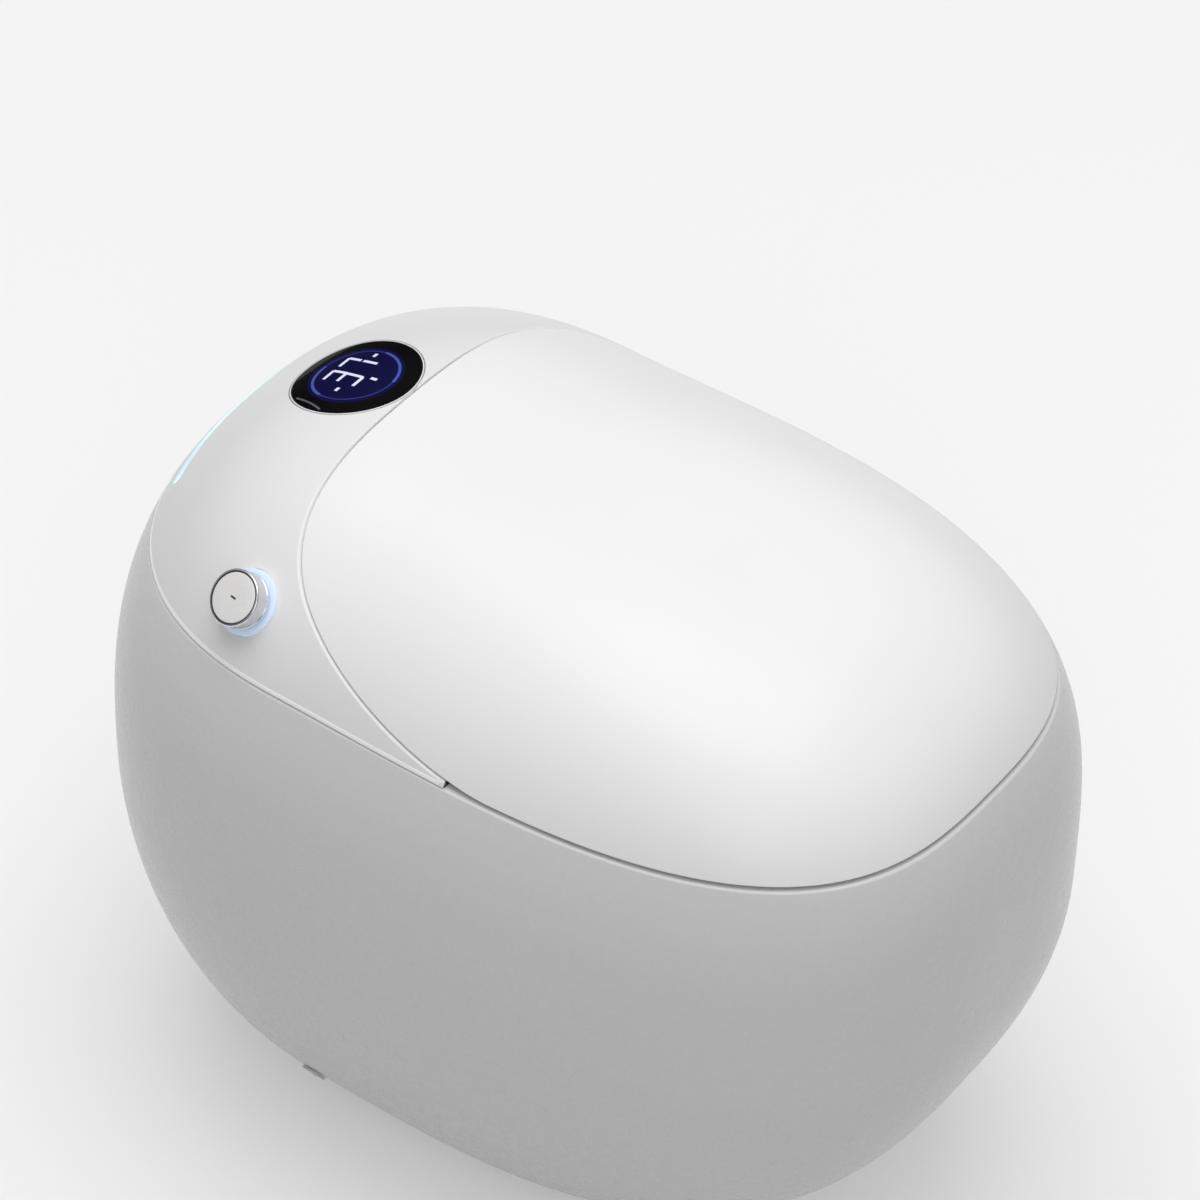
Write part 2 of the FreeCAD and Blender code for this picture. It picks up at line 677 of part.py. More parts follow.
# ================================================================ rear service panel
def service_panel():
    """Plate over the window in the back of the skirt."""
    half = PANEL_HALF_WIDTH - PANEL_GAP
    panel = box((-half, PANEL_Y, PANEL_Z[0] + PANEL_GAP),
                (half, PANEL_Y + PANEL_THICKNESS, PANEL_Z[1] - PANEL_GAP))
    uprights = [e for e in panel.Edges if abs(e.tangentAt(e.FirstParameter).y) > 0.9]
    panel = panel.makeFillet(6.0, uprights)
    for centre, radius in ((INLET, INLET_R), (GLAND, GLAND_R)):
        panel = panel.cut(rod(radius + 0.1, centre - Y_AXIS * 20, centre + Y_AXIS * 20))
    for place in panel_screw_places():
        panel = panel.cut(rod(SCREW_R + 0.2, place - Y_AXIS * 20, place + Y_AXIS * 20))
    return panel


def panel_screw_places():
    """Centres of the four service panel screws, on its front face."""
    x = PANEL_HALF_WIDTH - PANEL_LEDGE / 2 - 1.0
    low = PANEL_Z[0] + PANEL_LEDGE / 2 + 1.0
    high = PANEL_Z[1] - PANEL_LEDGE / 2 - 1.0
    return [V(sx * x, PANEL_Y + PANEL_THICKNESS, z) for sx in (-1, 1) for z in (low, high)]


def panel_screw(place):
    """A pan-head screw with a cross recess."""
    head = rod(SCREW_HEAD_R, place, place + Y_AXIS * 2.0)
    shank = rod(SCREW_R, place - Y_AXIS * (PANEL_THICKNESS - 0.1), place)
    top = place + Y_AXIS * 2.0
    long_cut = box((top.x - 2.5, top.y - 1.0, top.z - 0.5), (top.x + 2.5, top.y + 1, top.z + 0.5))
    cross_cut = box((top.x - 0.5, top.y - 1.0, top.z - 2.5), (top.x + 0.5, top.y + 1, top.z + 2.5))
    return head.fuse(shank).cut(long_cut).cut(cross_cut).removeSplitter()


def water_inlet():
    """Threaded spigot for the supply hose, with its nut behind the panel."""
    spigot = rod(INLET_R, INLET - Y_AXIS * 14, INLET + Y_AXIS * INLET_LENGTH)
    collar = Part.Face(Part.makePolygon(hexagon(15.5, INLET + Y_AXIS * PANEL_THICKNESS)))
    collar = collar.extrude(Y_AXIS * 3.0)
    nut = Part.Face(Part.makePolygon(hexagon(15.5, INLET - Y_AXIS * 6.0)))
    nut = nut.extrude(Y_AXIS * 5.9)
    bore = rod(7.0, INLET - Y_AXIS * 15, INLET + Y_AXIS * (INLET_LENGTH + 1))
    return join([spigot, collar, nut]).cut(bore)


def hexagon(radius, centre):
    """Corners of a hexagon facing +Y."""
    corners = []
    for i in range(7):
        turn = math.pi / 3 * i
        corners.append(centre + V(radius * math.cos(turn), 0, radius * math.sin(turn)))
    return corners


def power_gland():
    """Cable entry in the panel, with its hole for the lead."""
    body = rod(GLAND_R, GLAND - Y_AXIS * 12, GLAND + Y_AXIS * 10)
    collar = rod(GLAND_R + 4, GLAND + Y_AXIS * PANEL_THICKNESS, GLAND + Y_AXIS * 8)
    dome = Part.makeCone(GLAND_R, 6.5, 6.0, GLAND + Y_AXIS * 10, Y_AXIS)
    back_nut = rod(GLAND_R + 3, GLAND - Y_AXIS * 5.0, GLAND - Y_AXIS * 0.1)
    hole = rod(GLAND_HOLE_R, GLAND - Y_AXIS * 13, GLAND + Y_AXIS * 17)
    return join([body, collar, dome, back_nut]).cut(hole)


# ================================================================ flushing parts
def flush_tank():
    """Open-topped tank that hangs from the deck inside the skirt."""
    outside = tank_block(0.0)
    inside = tank_block(TANK_WALL).common(slab(TANK_BOTTOM_Z + TANK_WALL, RIM_Z))
    pump_hole = rod(6.2, PUMP_TOP - Z_AXIS * 5, PUMP_TOP + Z_AXIS * 10)
    return outside.cut(inside).cut(pump_hole)


def tank_block(wall):
    """The tank's outside, or with a wall its inside."""
    low = (-TANK_HALF_WIDTH + wall, TANK_FRONT_Y + wall, TANK_BOTTOM_Z)
    high = (TANK_HALF_WIDTH - wall, SHOULDER_Y + REAR_REACH, TANK_TOP_Z)
    plan = egg(BAY_INSET + 3.0 + wall).common(slab(TANK_TOP_Z - 1.0, TANK_TOP_Z))
    top = [f for f in plan.Faces if f.BoundBox.ZMin > TANK_TOP_Z - 0.1][0]
    column = top.extrude(V(0, 0, TANK_BOTTOM_Z - TANK_TOP_Z))
    return column.common(box(low, high))


def tank_lid():
    """Cover of the flushing tank, under the base plate."""
    low = (-TANK_HALF_WIDTH, TANK_FRONT_Y, TANK_TOP_Z)
    high = (TANK_HALF_WIDTH, SHOULDER_Y + REAR_REACH, RIM_Z)
    return egg(BAY_INSET + 3.0).common(box(low, high))


def flush_pump():
    """Pump casing under the tank, with its inlet and outlet spouts."""
    top = PUMP_TOP - Z_AXIS * 20
    casing = rod(PUMP_R, top - Z_AXIS * 55, top)
    cavity = rod(PUMP_R - 4, top - Z_AXIS * 22, top - Z_AXIS * 3)
    inlet = rod(6.0, top - Z_AXIS * 1, PUMP_TOP + Z_AXIS * 4)
    outlet = rod(9.0, top - Z_AXIS * 12 + Y_AXIS * 0, top + V(0, -PUMP_R - 10, -12))
    flow = rod(6.0, top - Z_AXIS * 12, top + V(0, -PUMP_R - 11, -12))
    drop = rod(4.0, top - Z_AXIS * 4, PUMP_TOP + Z_AXIS * 5)
    shaft = rod(2.0, top - Z_AXIS * 22, top - Z_AXIS * 4)
    return join([casing, inlet, outlet]).cut(cavity).cut(flow).cut(drop).fuse(shaft)


def pump_impeller():
    """Six-bladed wheel in the pump casing."""
    top = PUMP_TOP - Z_AXIS * 20
    hub = tube(7.0, 2.0 + RUNNING, top - Z_AXIS * 21, top - Z_AXIS * 6)
    plate = tube(PUMP_R - 8, 5.0, top - Z_AXIS * 21, top - Z_AXIS * 19.5)
    blades = []
    for i in range(6):
        blade = box((5.0, -0.8, 0), (PUMP_R - 8, 0.8, 10.0))
        blade.rotate(V(0, 0, 0), Z_AXIS, 60 * i)
        blade.translate(top - Z_AXIS * 20.5)
        blades.append(blade)
    return join([hub, plate] + blades)


def jet_path():
    """Corners of the way from the pump to the bowl's jet."""
    start = PUMP_TOP + V(0, -PUMP_R - 10, -32)
    return [start, V(start.x, JET_TURN_Y, start.z), V(JET_X, BOWL_SECTIONS[5][1], start.z)]


def jet_hose():
    """Hose from the pump to the bowl's jet, ending on the outside of the bowl."""
    points = jet_path()
    hose = pipe(points, 30.0, 9.0).cut(pipe(points, 30.0, 6.0))
    return hose.cut(bowl(CERAMIC_WALL, RIM_Z))


# ================================================================ base plate and housing
def base_plate():
    """Moulded plate over the rear deck that carries the seat, lid and electronics."""
    plate = egg(10.0).common(band(WAND_TIP_Y + 2.0, SHOULDER_Y + REAR_REACH, RIM_Z, DECK_TOP))
    wand_slot = box((-WAND_HALF_WIDTH, BAY_FRONT_Y + 4, RIM_Z - 1),
                    (WAND_HALF_WIDTH, BAY_FRONT_Y + 69, DECK_TOP + 1))
    air_x = (BLOWER_X[0] + 4, BLOWER_X[1] - 4)
    air_y = (BLOWER_Y - 18, BLOWER_Y - 4)
    plate = plate.cut(wand_slot)
    for sign in (-1, 1):
        low = min(sign * air_x[0], sign * air_x[1])
        high = max(sign * air_x[0], sign * air_x[1])
        plate = plate.cut(box((low, air_y[0], RIM_Z - 1), (high, air_y[1], DECK_TOP + 1)))
    hose = V(HOSE_PLACE[0], HOSE_PLACE[1], RIM_Z - 1)
    plate = plate.cut(rod(HOSE_R + 0.4, hose, hose + Z_AXIS * 10))
    return plate


def housing_gasket():
    """Thin seal between the ceramic and the rear housing."""
    ring = egg_shell(1.5, 6.0).common(slab(RIM_Z, RIM_Z + GASKET))
    return ring.common(band(HOUSING_TIP_Y, SHOULDER_Y + REAR_REACH, RIM_Z, RIM_Z + GASKET))


def rear_housing():
    """Cover behind the lid, with side wings that run forward along the rim."""
    outside = egg(0.0).common(housing_space())
    back = SHOULDER_Y + REAR_REACH
    under_lid = egg(HOUSING_WALL).common(band(HOUSING_TIP_Y - 5, WALL_Y, 0, CROWN_Z))
    cavity = egg(HOUSING_WALL).common(band(WALL_Y + HOUSING_WALL, back, 0, CROWN_Z))
    cavity = cavity.cut(lid_swing(SEAM_GAP + HOUSING_WALL))
    floor_room = egg(8.5).common(band(WAND_TIP_Y, back, 0, DECK_TOP + 0.3))
    shell = outside.cut(under_lid).cut(cavity).cut(floor_room)
    shell = shell.cut(wand_way(WALL_Y - 5, WALL_Y + HOUSING_WALL + 5))
    boss_bar = display_bar(DISPLAY_R + BEZEL + 4)
    boss = egg_shell(HOUSING_WALL / 2, DISPLAY_SEAT + 2).common(boss_bar).common(housing_space())
    shell = shell.fuse(boss).cut(lid_swing(SEAM_GAP))
    recess = egg(-5.0).cut(egg(DISPLAY_SEAT)).common(display_bar(DISPLAY_R + BEZEL + 0.5))
    shell = shell.cut(recess).cut(display_bar(DISPLAY_R - 4))
    shell = shell.cut(light_bar(0.3))
    shell = shell.cut(rod(HALO_R + 0.3, KNOB_BASE - KNOB_OUT * 12, KNOB_BASE + KNOB_OUT * 12))
    shell = shell.cut(rod(ENCODER_R + 2.0, KNOB_BASE - KNOB_OUT * 20, KNOB_BASE))
    return shell.removeSplitter()


def wand_way(y_low, y_high):
    """Room for both wands through an upright wall."""
    half = WAND_HALF_WIDTH + 1.5
    return box((-half, y_low, DECK_TOP - 5), (half, y_high, DECK_TOP + 44))


def display_bar(radius):
    """A round bar along the display's axis."""
    return rod(radius, DISPLAY_CENTRE - DISPLAY_OUT * 16, DISPLAY_CENTRE + DISPLAY_OUT * 8)


def display_lens():
    """Dark glass over the display, following the housing."""
    return egg_shell(0.0, LENS).common(display_bar(DISPLAY_R))


def display_bezel():
    """Fine ring around the display glass."""
    ring = display_bar(DISPLAY_R + BEZEL + 0.2).cut(display_bar(DISPLAY_R + 0.25))
    return egg_shell(0.0, LENS).common(ring)


def display_module():
    """Light-emitting panel behind the glass."""
    return egg_shell(LENS + 0.5, LENS + 3.0).common(display_bar(DISPLAY_R - 4.5))


def light_bar(grow):
    """Curved band for the light strip at the back, pushed along Y."""
    middle = V(0, 0, LIGHT_Z - LIGHT_SWEEP_R)
    half = math.asin((LIGHT_HALF_LENGTH + grow) / LIGHT_SWEEP_R)
    inner = LIGHT_SWEEP_R - LIGHT_WIDTH / 2 - grow
    outer = LIGHT_SWEEP_R + LIGHT_WIDTH / 2 + grow

    def place(radius, turn):
        return middle + V(radius * math.sin(turn), 0, radius * math.cos(turn))

    edges = [
        Part.Arc(place(outer, -half), place(outer, 0), place(outer, half)).toShape(),
        Part.Arc(place(outer, half), place(LIGHT_SWEEP_R, half * 1.012), place(inner, half)).toShape(),
        Part.Arc(place(inner, half), place(inner, 0), place(inner, -half)).toShape(),
        Part.Arc(place(inner, -half), place(LIGHT_SWEEP_R, -half * 1.012), place(outer, -half)).toShape(),
    ]
    face = Part.Face(Part.Wire(edges))
    face.translate(V(0, SHOULDER_Y + REAR_REACH * 0.5, 0))
    return face.extrude(V(0, REAR_REACH, 0))


def rear_light():
    """Translucent strip at the back of the housing."""
    return egg_shell(0.0, HOUSING_WALL - 0.4).common(light_bar(0.0))


# ================================================================ lid
def lid_shell():
    """Outer skin of the lid."""
    return egg_shell(0.0, LID_WALL).common(lid_space(0.0, RIM_Z + LID_LIFT))


def lid_liner():
    """Inner skin of the lid with its two hinge lugs."""
    skin = egg_shell(LID_WALL + BOND_GAP, LID_WALL + BOND_GAP + LINER_WALL)
    skin = skin.common(lid_space(2.0, RIM_Z + LID_LIFT + 1.0))
    outline = [(HINGE_Y - 6, HINGE_Z - 6.7), (HINGE_Y - 46, HINGE_Z + 12), (HINGE_Y - 46, CROWN_Z),
               (HINGE_Y + 6, CROWN_Z), (HINGE_Y + 8.5, HINGE_Z + 2)]
    inner = egg(LID_WALL + BOND_GAP + LINER_WALL / 2)
    for sign in (-1, 1):
        low, high = sorted((sign * LID_LUG_X[0], sign * LID_LUG_X[1]))
        lug = side_prism(outline, low, high).common(inner)
        barrel = rod(BARREL_R, V(low, HINGE_Y, HINGE_Z), V(high, HINGE_Y, HINGE_Z))
        skin = skin.fuse(lug.fuse(barrel))
        skin = skin.cut(rod(PIN_R + RUNNING, V(low - 1, HINGE_Y, HINGE_Z), V(high + 1, HINGE_Y, HINGE_Z)))
    return skin.removeSplitter()


def lid_bumpers():
    """Four rubber pads between the lid's edge and the ceramic."""
    ring = egg_shell(LID_WALL + 0.6, LID_WALL + 4.5).common(slab(RIM_Z + 0.3, RIM_Z + LID_LIFT + 0.9))
    pads = []
    for x, y in ((150.0, SHOULDER_Y - 175.0), (70.0, SHOULDER_Y - 355.0)):
        for sign in (-1, 1):
            centre = V(sign * x, y, RIM_Z)
            spot = rod(34.0, centre, centre + Z_AXIS * 10) if x > 100 else rod(20.0, centre, centre + Z_AXIS * 10)
            pads += ring.common(spot).Solids
    return pads


# ================================================================ seat
def seat_reach(turn, z):
    """Seat centre to the seat's outer edge in a direction, at a height."""
    ux = math.cos(turn)
    uy = math.sin(turn)

    def outside(distance):
        x = distance * ux
        y = SEAT_CENTRE_Y + distance * uy
        body = top_excess(x, y, z, SEAT_INSET)
        rear = (abs(x) / 196.0) ** 3.4 + abs((y - SEAT_CENTRE_Y) / (SEAT_REAR_Y - SEAT_CENTRE_Y)) ** 3.4
        rear = rear ** (1 / 3.4) if y > SEAT_CENTRE_Y else 0.0
        return (body**12 + rear**12) ** (1 / 12) - 1

    return bisect(outside, 20.0, 260.0)


def top_excess(x, y, z, inset):
    """How far a place lies from the middle, as a share of the way to the outline."""
    dy = y - SHOULDER_Y
    rear = dy > 0
    reach = (REAR_REACH if rear else FRONT_REACH) - inset
    power = REAR_PLAN_POWER if rear else FRONT_PLAN_POWER
    across = abs(x) / (HALF_WIDTH - inset)
    along = abs(dy) / reach
    spread = (across**power + along**power) ** (1 / power)
    lengthwise = along / spread if spread > 0 else 0.0
    side = UPPER_SIDE_POWER + (REAR_SQUARING if rear else FRONT_SQUARING) * lengthwise**2
    height = (z - WIDEST_Z) / (CROWN_RISE - inset)
    return spread / (1 - height**side) ** (1 / side)


def seat_ring():
    """The whole seat as one smooth closed ring, before it is split in two shells."""
    middle_z = SEAT_BOTTOM + SEAT_HEIGHT / 2
    grid = []
    for i in range(SEAT_COLUMNS):
        turn = 2 * math.pi * i / SEAT_COLUMNS
        hole = abs(math.cos(turn) / SEAT_HOLE[0]) ** 2.3 + abs(math.sin(turn) / SEAT_HOLE[1]) ** 2.3
        inner = hole ** (-1 / 2.3)
        outer = seat_reach(turn, middle_z)
        centre = (inner + outer) / 2
        half = (outer - inner) / 2
        section = []
        for k in range(SEAT_SECTION_POINTS):
            around = 2 * math.pi * k / SEAT_SECTION_POINTS
            power = SEAT_SECTION_POWER
            size = abs(math.cos(around)) ** power + abs(math.sin(around)) ** power
            size = size ** (-1 / power)
            z = middle_z + SEAT_HEIGHT / 2 * size * math.sin(around)
            lean = (z - middle_z) * SEAT_LEAN
            distance = centre + half * size * math.cos(around) - (lean if math.cos(around) > 0 else 0)
            section.append(V(distance * math.cos(turn), SEAT_CENTRE_Y + distance * math.sin(turn), z))
        grid.append(closed_poles(section))
    poles = []
    for k in range(SEAT_SECTION_POINTS):
        poles.append(closed_poles([column[k] for column in grid]))
    grid = [[poles[k][i] for k in range(SEAT_SECTION_POINTS)] for i in range(SEAT_COLUMNS)]
    surface = Part.BSplineSurface()
    surface.buildFromPolesMultsKnots(
        grid, [1] * (SEAT_COLUMNS + 1), [1] * (SEAT_SECTION_POINTS + 1),
        [float(i) for i in range(SEAT_COLUMNS + 1)],
        [float(i) for i in range(SEAT_SECTION_POINTS + 1)], True, True, 3, 3)
    solid = Part.makeSolid(Part.makeShell([surface.toShape()]))
    if solid.Volume < 0:
        solid.reverse()
    return solid


def seat_top(ring):
    """Upper shell of the seat with its two hinge arms and a groove for the heater."""
    top = ring.common(slab(SEAT_BOTTOM + SEAT_SPLIT, CROWN_Z))
    outline = [(SEAT_REAR_Y - 30, SEAT_BOTTOM + SEAT_HEIGHT - 1.5), (SEAT_REAR_Y - 8, SEAT_BOTTOM + 8),
               (HINGE_Y + 6.5, HINGE_Z - 6.3), (HINGE_Y - 6.5, HINGE_Z + 6.3)]
    for sign in (-1, 1):
        low, high = sorted((sign * SEAT_ARM_X[0], sign * SEAT_ARM_X[1]))
        arm = side_prism(outline, low, high)
        barrel = rod(BARREL_R, V(low, HINGE_Y, HINGE_Z), V(high, HINGE_Y, HINGE_Z))
        top = top.fuse(arm.fuse(barrel))
        top = top.cut(rod(PIN_R + RUNNING, V(low - 1, HINGE_Y, HINGE_Z), V(high + 1, HINGE_Y, HINGE_Z)))
    return top.cut(heater_groove(0.3))


def heater_groove(grow):
    """Oval band under the seat's surface where the heating film lies."""
    low = SEAT_BOTTOM + SEAT_SPLIT
    bottom = low - (1.0 if grow else 0.0)
    outer = Part.Face(oval(SEAT_CENTRE_Y - 8, 150.0 + grow, 160.0 + grow, bottom))
    inner = Part.Face(oval(SEAT_CENTRE_Y - 2, 112.0 - grow, 141.0 - grow, bottom))
    top = low + HEATER + grow
    return outer.extrude(V(0, 0, top - bottom)).cut(inner.extrude(V(0, 0, top - bottom)))


def seat_base(ring):
    """Lower shell of the seat."""
    return ring.common(slab(0.0, SEAT_BOTTOM + SEAT_SPLIT))


def seat_bumpers():
    """Four rubber feet under the seat."""
    pads = []
    for x, y in ((145.0, SEAT_CENTRE_Y + 70), (72.0, SEAT_CENTRE_Y - 148)):
        for sign in (-1, 1):
            foot = V(sign * x, y, RIM_Z + 0.3)
            pads.append(rod(8.0, foot, V(foot.x, foot.y, SEAT_BOTTOM)))
    return pads


# ================================================================ hinge
def hinge_brackets():
    """Two steel angles on the base plate that carry the hinge pins."""
    shapes = []
    for sign in (-1, 1):
        low, high = sorted((sign * UPRIGHT_X[0], sign * UPRIGHT_X[1]))
        foot_low, foot_high = sorted((sign * UPRIGHT_X[0], sign * (UPRIGHT_X[0] + 21)))
        upright = box((low, HINGE_Y - 9, DECK_TOP), (high, HINGE_Y + 9, HINGE_Z))
        top = rod(9.0, V(low, HINGE_Y, HINGE_Z), V(high, HINGE_Y, HINGE_Z))
        foot = box((foot_low, HINGE_Y - 16, DECK_TOP), (foot_high, HINGE_Y + 15, DECK_TOP + 3))
        bracket = join([upright, top, foot])
        hole = rod(PIN_R + RUNNING, V(low - 1, HINGE_Y, HINGE_Z), V(high + 1, HINGE_Y, HINGE_Z))
        shapes.append(bracket.cut(hole))
    return shapes


def hinge_pins():
    """Two steel pins through brackets, dampers, seat arms and lid lugs."""
    shapes = []
    for sign in (-1, 1):
        start = V(sign * UPRIGHT_X[0], HINGE_Y, HINGE_Z)
        head = V(sign * PIN_HEAD_X[0], HINGE_Y, HINGE_Z)
        end = V(sign * PIN_HEAD_X[1], HINGE_Y, HINGE_Z)
        shapes.append(rod(PIN_R, start, head).fuse(rod(PIN_HEAD_R, head, end)))
    return shapes


def hinge_dampers():
    """Two slow-closing dampers around the pins, beside the brackets."""
    shapes = []
    for sign in (-1, 1):
        low = V(sign * DAMPER_X[0], HINGE_Y, HINGE_Z)
        high = V(sign * DAMPER_X[1], HINGE_Y, HINGE_Z)
        shapes.append(tube(BARREL_R, PIN_R + RUNNING, low, high))
    return shapes


def fascia_block(wall):
    """Outside of the fascia, or with a wall its inside."""
    half = FASCIA_HALF_WIDTH - wall
    front = FASCIA_Y + wall
    top = HINGE_Z - 16.0 - wall
    bottom = DECK_TOP - (5.0 if wall else 0.0)
    outline = [(front, bottom), (front + 8, top - 8), (front + 15, top), (HINGE_Y + 10 - wall, top - 5),
               (WALL_Y - 2 - wall, top - 15), (WALL_Y - 2 - wall, bottom)]
    return side_prism(outline, -half, half)


def fascia_cover(wall):
    """Rounded bridge of the fascia over the dampers."""
    half = DAMPER_X[1] + 0.3
    radius = COVER_R - wall
    start = V(-half - (1.0 if wall else 0.0), HINGE_Y, HINGE_Z)
    end = V(-start.x, HINGE_Y, HINGE_Z)
    low = HINGE_Z - (27.0 if wall else 24.0)
    outline = [(HINGE_Y - 16 + wall, low), (HINGE_Y - radius, HINGE_Z),
               (HINGE_Y + radius, HINGE_Z), (HINGE_Y + 12 - wall, low)]
    return rod(radius, start, end).fuse(side_prism(outline, start.x, end.x))


def rear_fascia():
    """Front of the rear unit under the lid, with slots for the seat arms."""
    outside = fascia_block(0.0).fuse(fascia_cover(0.0))
    inside = fascia_block(FASCIA_WALL).fuse(fascia_cover(COVER_R - BARREL_R - 0.8))
    fascia = outside.cut(inside)
    for sign in (-1, 1):
        low, high = sorted((sign * SLOT_X[0], sign * SLOT_X[1]))
        slot = box((low, FASCIA_Y - 20, DECK_TOP + 10), (high, WALL_Y + 20, CROWN_Z))
        fascia = fascia.cut(slot)
    fascia = fascia.cut(wand_way(WALL_Y - 10, WALL_Y + 5))
    front_gap = box((-WAND_HALF_WIDTH, FASCIA_Y - 5, DECK_TOP - 5),
                    (WAND_HALF_WIDTH, FASCIA_Y + 5, DECK_TOP + 6))
    return fascia.cut(front_gap)


# ================================================================ spray wands
def wand_place(along, side):
    """A place on a wand's axis, along it from the resting tip towards the back."""
    tip = V(side * WAND_X, WAND_TIP_Y, WAND_TIP_Z)
    return tip - WAND_DIRECTION * along


def wand_tube(side):
    """Sliding barrel of one wand."""
    return rod(WAND_R, wand_place(WAND_TIP_LENGTH, side), wand_place(WAND_LENGTH, side))


def wand_tip(side):
    """Spray head of one wand, with jet holes in its top."""
    head = rod(WAND_R, wand_place(0, side), wand_place(WAND_TIP_LENGTH, side))
    upward = V(0, -WAND_DIRECTION.z, WAND_DIRECTION.y) * -1
    for along, across in ((4.0, -1.6), (4.0, 1.6), (7.0, 0.0)):
        hole = wand_place(along, side) + V(across, 0, 0)
        head = head.cut(rod(0.7, hole + upward * 2, hole + upward * 10))
    return head


def wand_blocks():
    """Front guide in the deck's notch and rear guide on the base plate."""
    front = box((-WAND_HALF_WIDTH, WAND_TIP_Y + 2, RIM_Z - 30), (WAND_HALF_WIDTH, WAND_TIP_Y + 42, RIM_Z))
    rear_y = HINGE_Y + 24
    rear = box((-WAND_HALF_WIDTH, rear_y, DECK_TOP), (WAND_HALF_WIDTH, rear_y + 34, DECK_TOP + 42))
    for side in (-1, 1):
        bore = rod(WAND_BORE_R, wand_place(-20, side), wand_place(WAND_LENGTH + 40, side))
        front = front.cut(bore)
        rear = rear.cut(bore)
    return front, rear


def wand_motors():
    """Two stepper motors beside the rear guide."""
    y = HINGE_Y + 24 + 17
    z = DECK_TOP + 12
    shapes = []
    for sign in (-1, 1):
        start = V(sign * WAND_HALF_WIDTH, y, z)
        shapes.append(rod(10.0, start, start + V(sign * 14, 0, 0)))
    return shapes


# ================================================================ dryer and deodoriser
def duct(sign):
    """Air duct in the deck's notch, from the blower down to the bowl."""
    front_y = WAND_TIP_Y + 2.0
    step_y = BAY_FRONT_Y + 12.0
    end_y = BLOWER_Y + 2.0
    wall = DUCT_WALL
    low, high = DUCT_Z

    def shape(inner):
        grow = -wall if inner else 0.0
        start = front_y - (5.0 if inner else 0.0)
        front = box((DUCT_X[0] - grow, start, low - grow), (DUCT_X[1] + grow, step_y + 5, high + grow))
        rear = box((DUCT_X[0] - grow, step_y - grow, low - grow),
                   (BLOWER_X[1] + 4 + grow, end_y + grow, high + grow))
        return front.fuse(rear)

    shell = shape(False).cut(shape(True))
    hole = box((BLOWER_X[0] + 5, BLOWER_Y - 17, high - 5), (BLOWER_X[1] - 5, BLOWER_Y - 5, high + 5))
    shell = shell.cut(hole)
    return shell if sign > 0 else shell.mirror(V(0, 0, 0), X_AXIS)


def dryer_flap():
    """Top-hung flap over the dryer's outlet, with its pivot rod."""
    front = WAND_TIP_Y + 2.0
    x_low = DUCT_X[0] + 1.0
    x_high = DUCT_X[1] - 1.0
    plate = box((x_low, front - 0.6 - FLAP_THICKNESS, DUCT_Z[0] + 2), (x_high, front - 0.6, FLAP_Z))
    pivot = rod(FLAP_PIVOT_R, V(x_low - 0.8, FLAP_Y, FLAP_Z), V(x_high + 0.8, FLAP_Y, FLAP_Z))
    return plate.fuse(pivot).removeSplitter()


def flap_ears():
    """Two ears on the duct's mouth that hold the flap's pivot."""
    front = WAND_TIP_Y + 2.0
    ears = []
    for x_low, x_high in ((DUCT_X[0] - 2.0, DUCT_X[0] + 0.7), (DUCT_X[1] - 0.7, DUCT_X[1] + 2.0)):
        ear = box((x_low, front - 4.0, FLAP_Z - 3), (x_high, front + 3, FLAP_Z + 3))
        ears.append(ear.cut(rod(FLAP_PIVOT_R + RUNNING, V(x_low - 1, FLAP_Y, FLAP_Z), V(x_high + 1, FLAP_Y, FLAP_Z))))
    return ears


def blower_housing():
    """Scroll casing of the dryer's blower, with its spout into the duct."""
    start = V(BLOWER_X[0], BLOWER_Y, BLOWER_Z)
    end = V(BLOWER_X[1], BLOWER_Y, BLOWER_Z)
    casing = rod(BLOWER_R, start, end)
    spout = box((BLOWER_X[0] + 3, BLOWER_Y - 16, DECK_TOP), (BLOWER_X[1] - 3, BLOWER_Y - 4, BLOWER_Z))
    feet = box((BLOWER_X[0], BLOWER_Y - 12, DECK_TOP), (BLOWER_X[1], BLOWER_Y + 14, DECK_TOP + 5))
    solid = join([casing, spout, feet])
    cavity = rod(BLOWER_R - 1.5, start + X_AXIS * 2, end - X_AXIS * 2)
    way = box((BLOWER_X[0] + 5, BLOWER_Y - 14, DECK_TOP - 1), (BLOWER_X[1] - 5, BLOWER_Y - 6, BLOWER_Z))
    motor = rod(10.0, end, end + X_AXIS * 14)
    axle = rod(1.5, start + X_AXIS * 2, end)
    return solid.cut(cavity).cut(way).fuse(motor).fuse(axle)


def wheel(radius, start, end, bore, blades):
    """A drum impeller with straight blades."""
    axis = end - start
    length = axis.Length
    hub = Part.makeCylinder(4.0, length).cut(Part.makeCylinder(bore, length))
    disc = Part.makeCylinder(radius, 1.5).cut(Part.makeCylinder(bore, length))
    shapes = [hub, disc]
    for i in range(blades):
        blade = box((radius - 4.0, -0.5, 0), (radius, 0.5, length))
        blade.rotate(V(0, 0, 0), Z_AXIS, 360 * i / blades)
        shapes.append(blade)
    ring = Part.makeCylinder(radius, 1.0).cut(Part.makeCylinder(radius - 4.0, 1.0))
    ring.translate(V(0, 0, length - 1.0))
    shapes.append(ring)
    solid = join(shapes)
    solid.Placement = FreeCAD.Placement(start, FreeCAD.Rotation(Z_AXIS, axis))
    return solid


def dryer_impeller():
    """Blower wheel of the dryer."""
    start = V(BLOWER_X[0] + 4, BLOWER_Y, BLOWER_Z)
    return wheel(BLOWER_R - 3, start, V(BLOWER_X[1] - 4, BLOWER_Y, BLOWER_Z), 1.5 + RUNNING, 16)


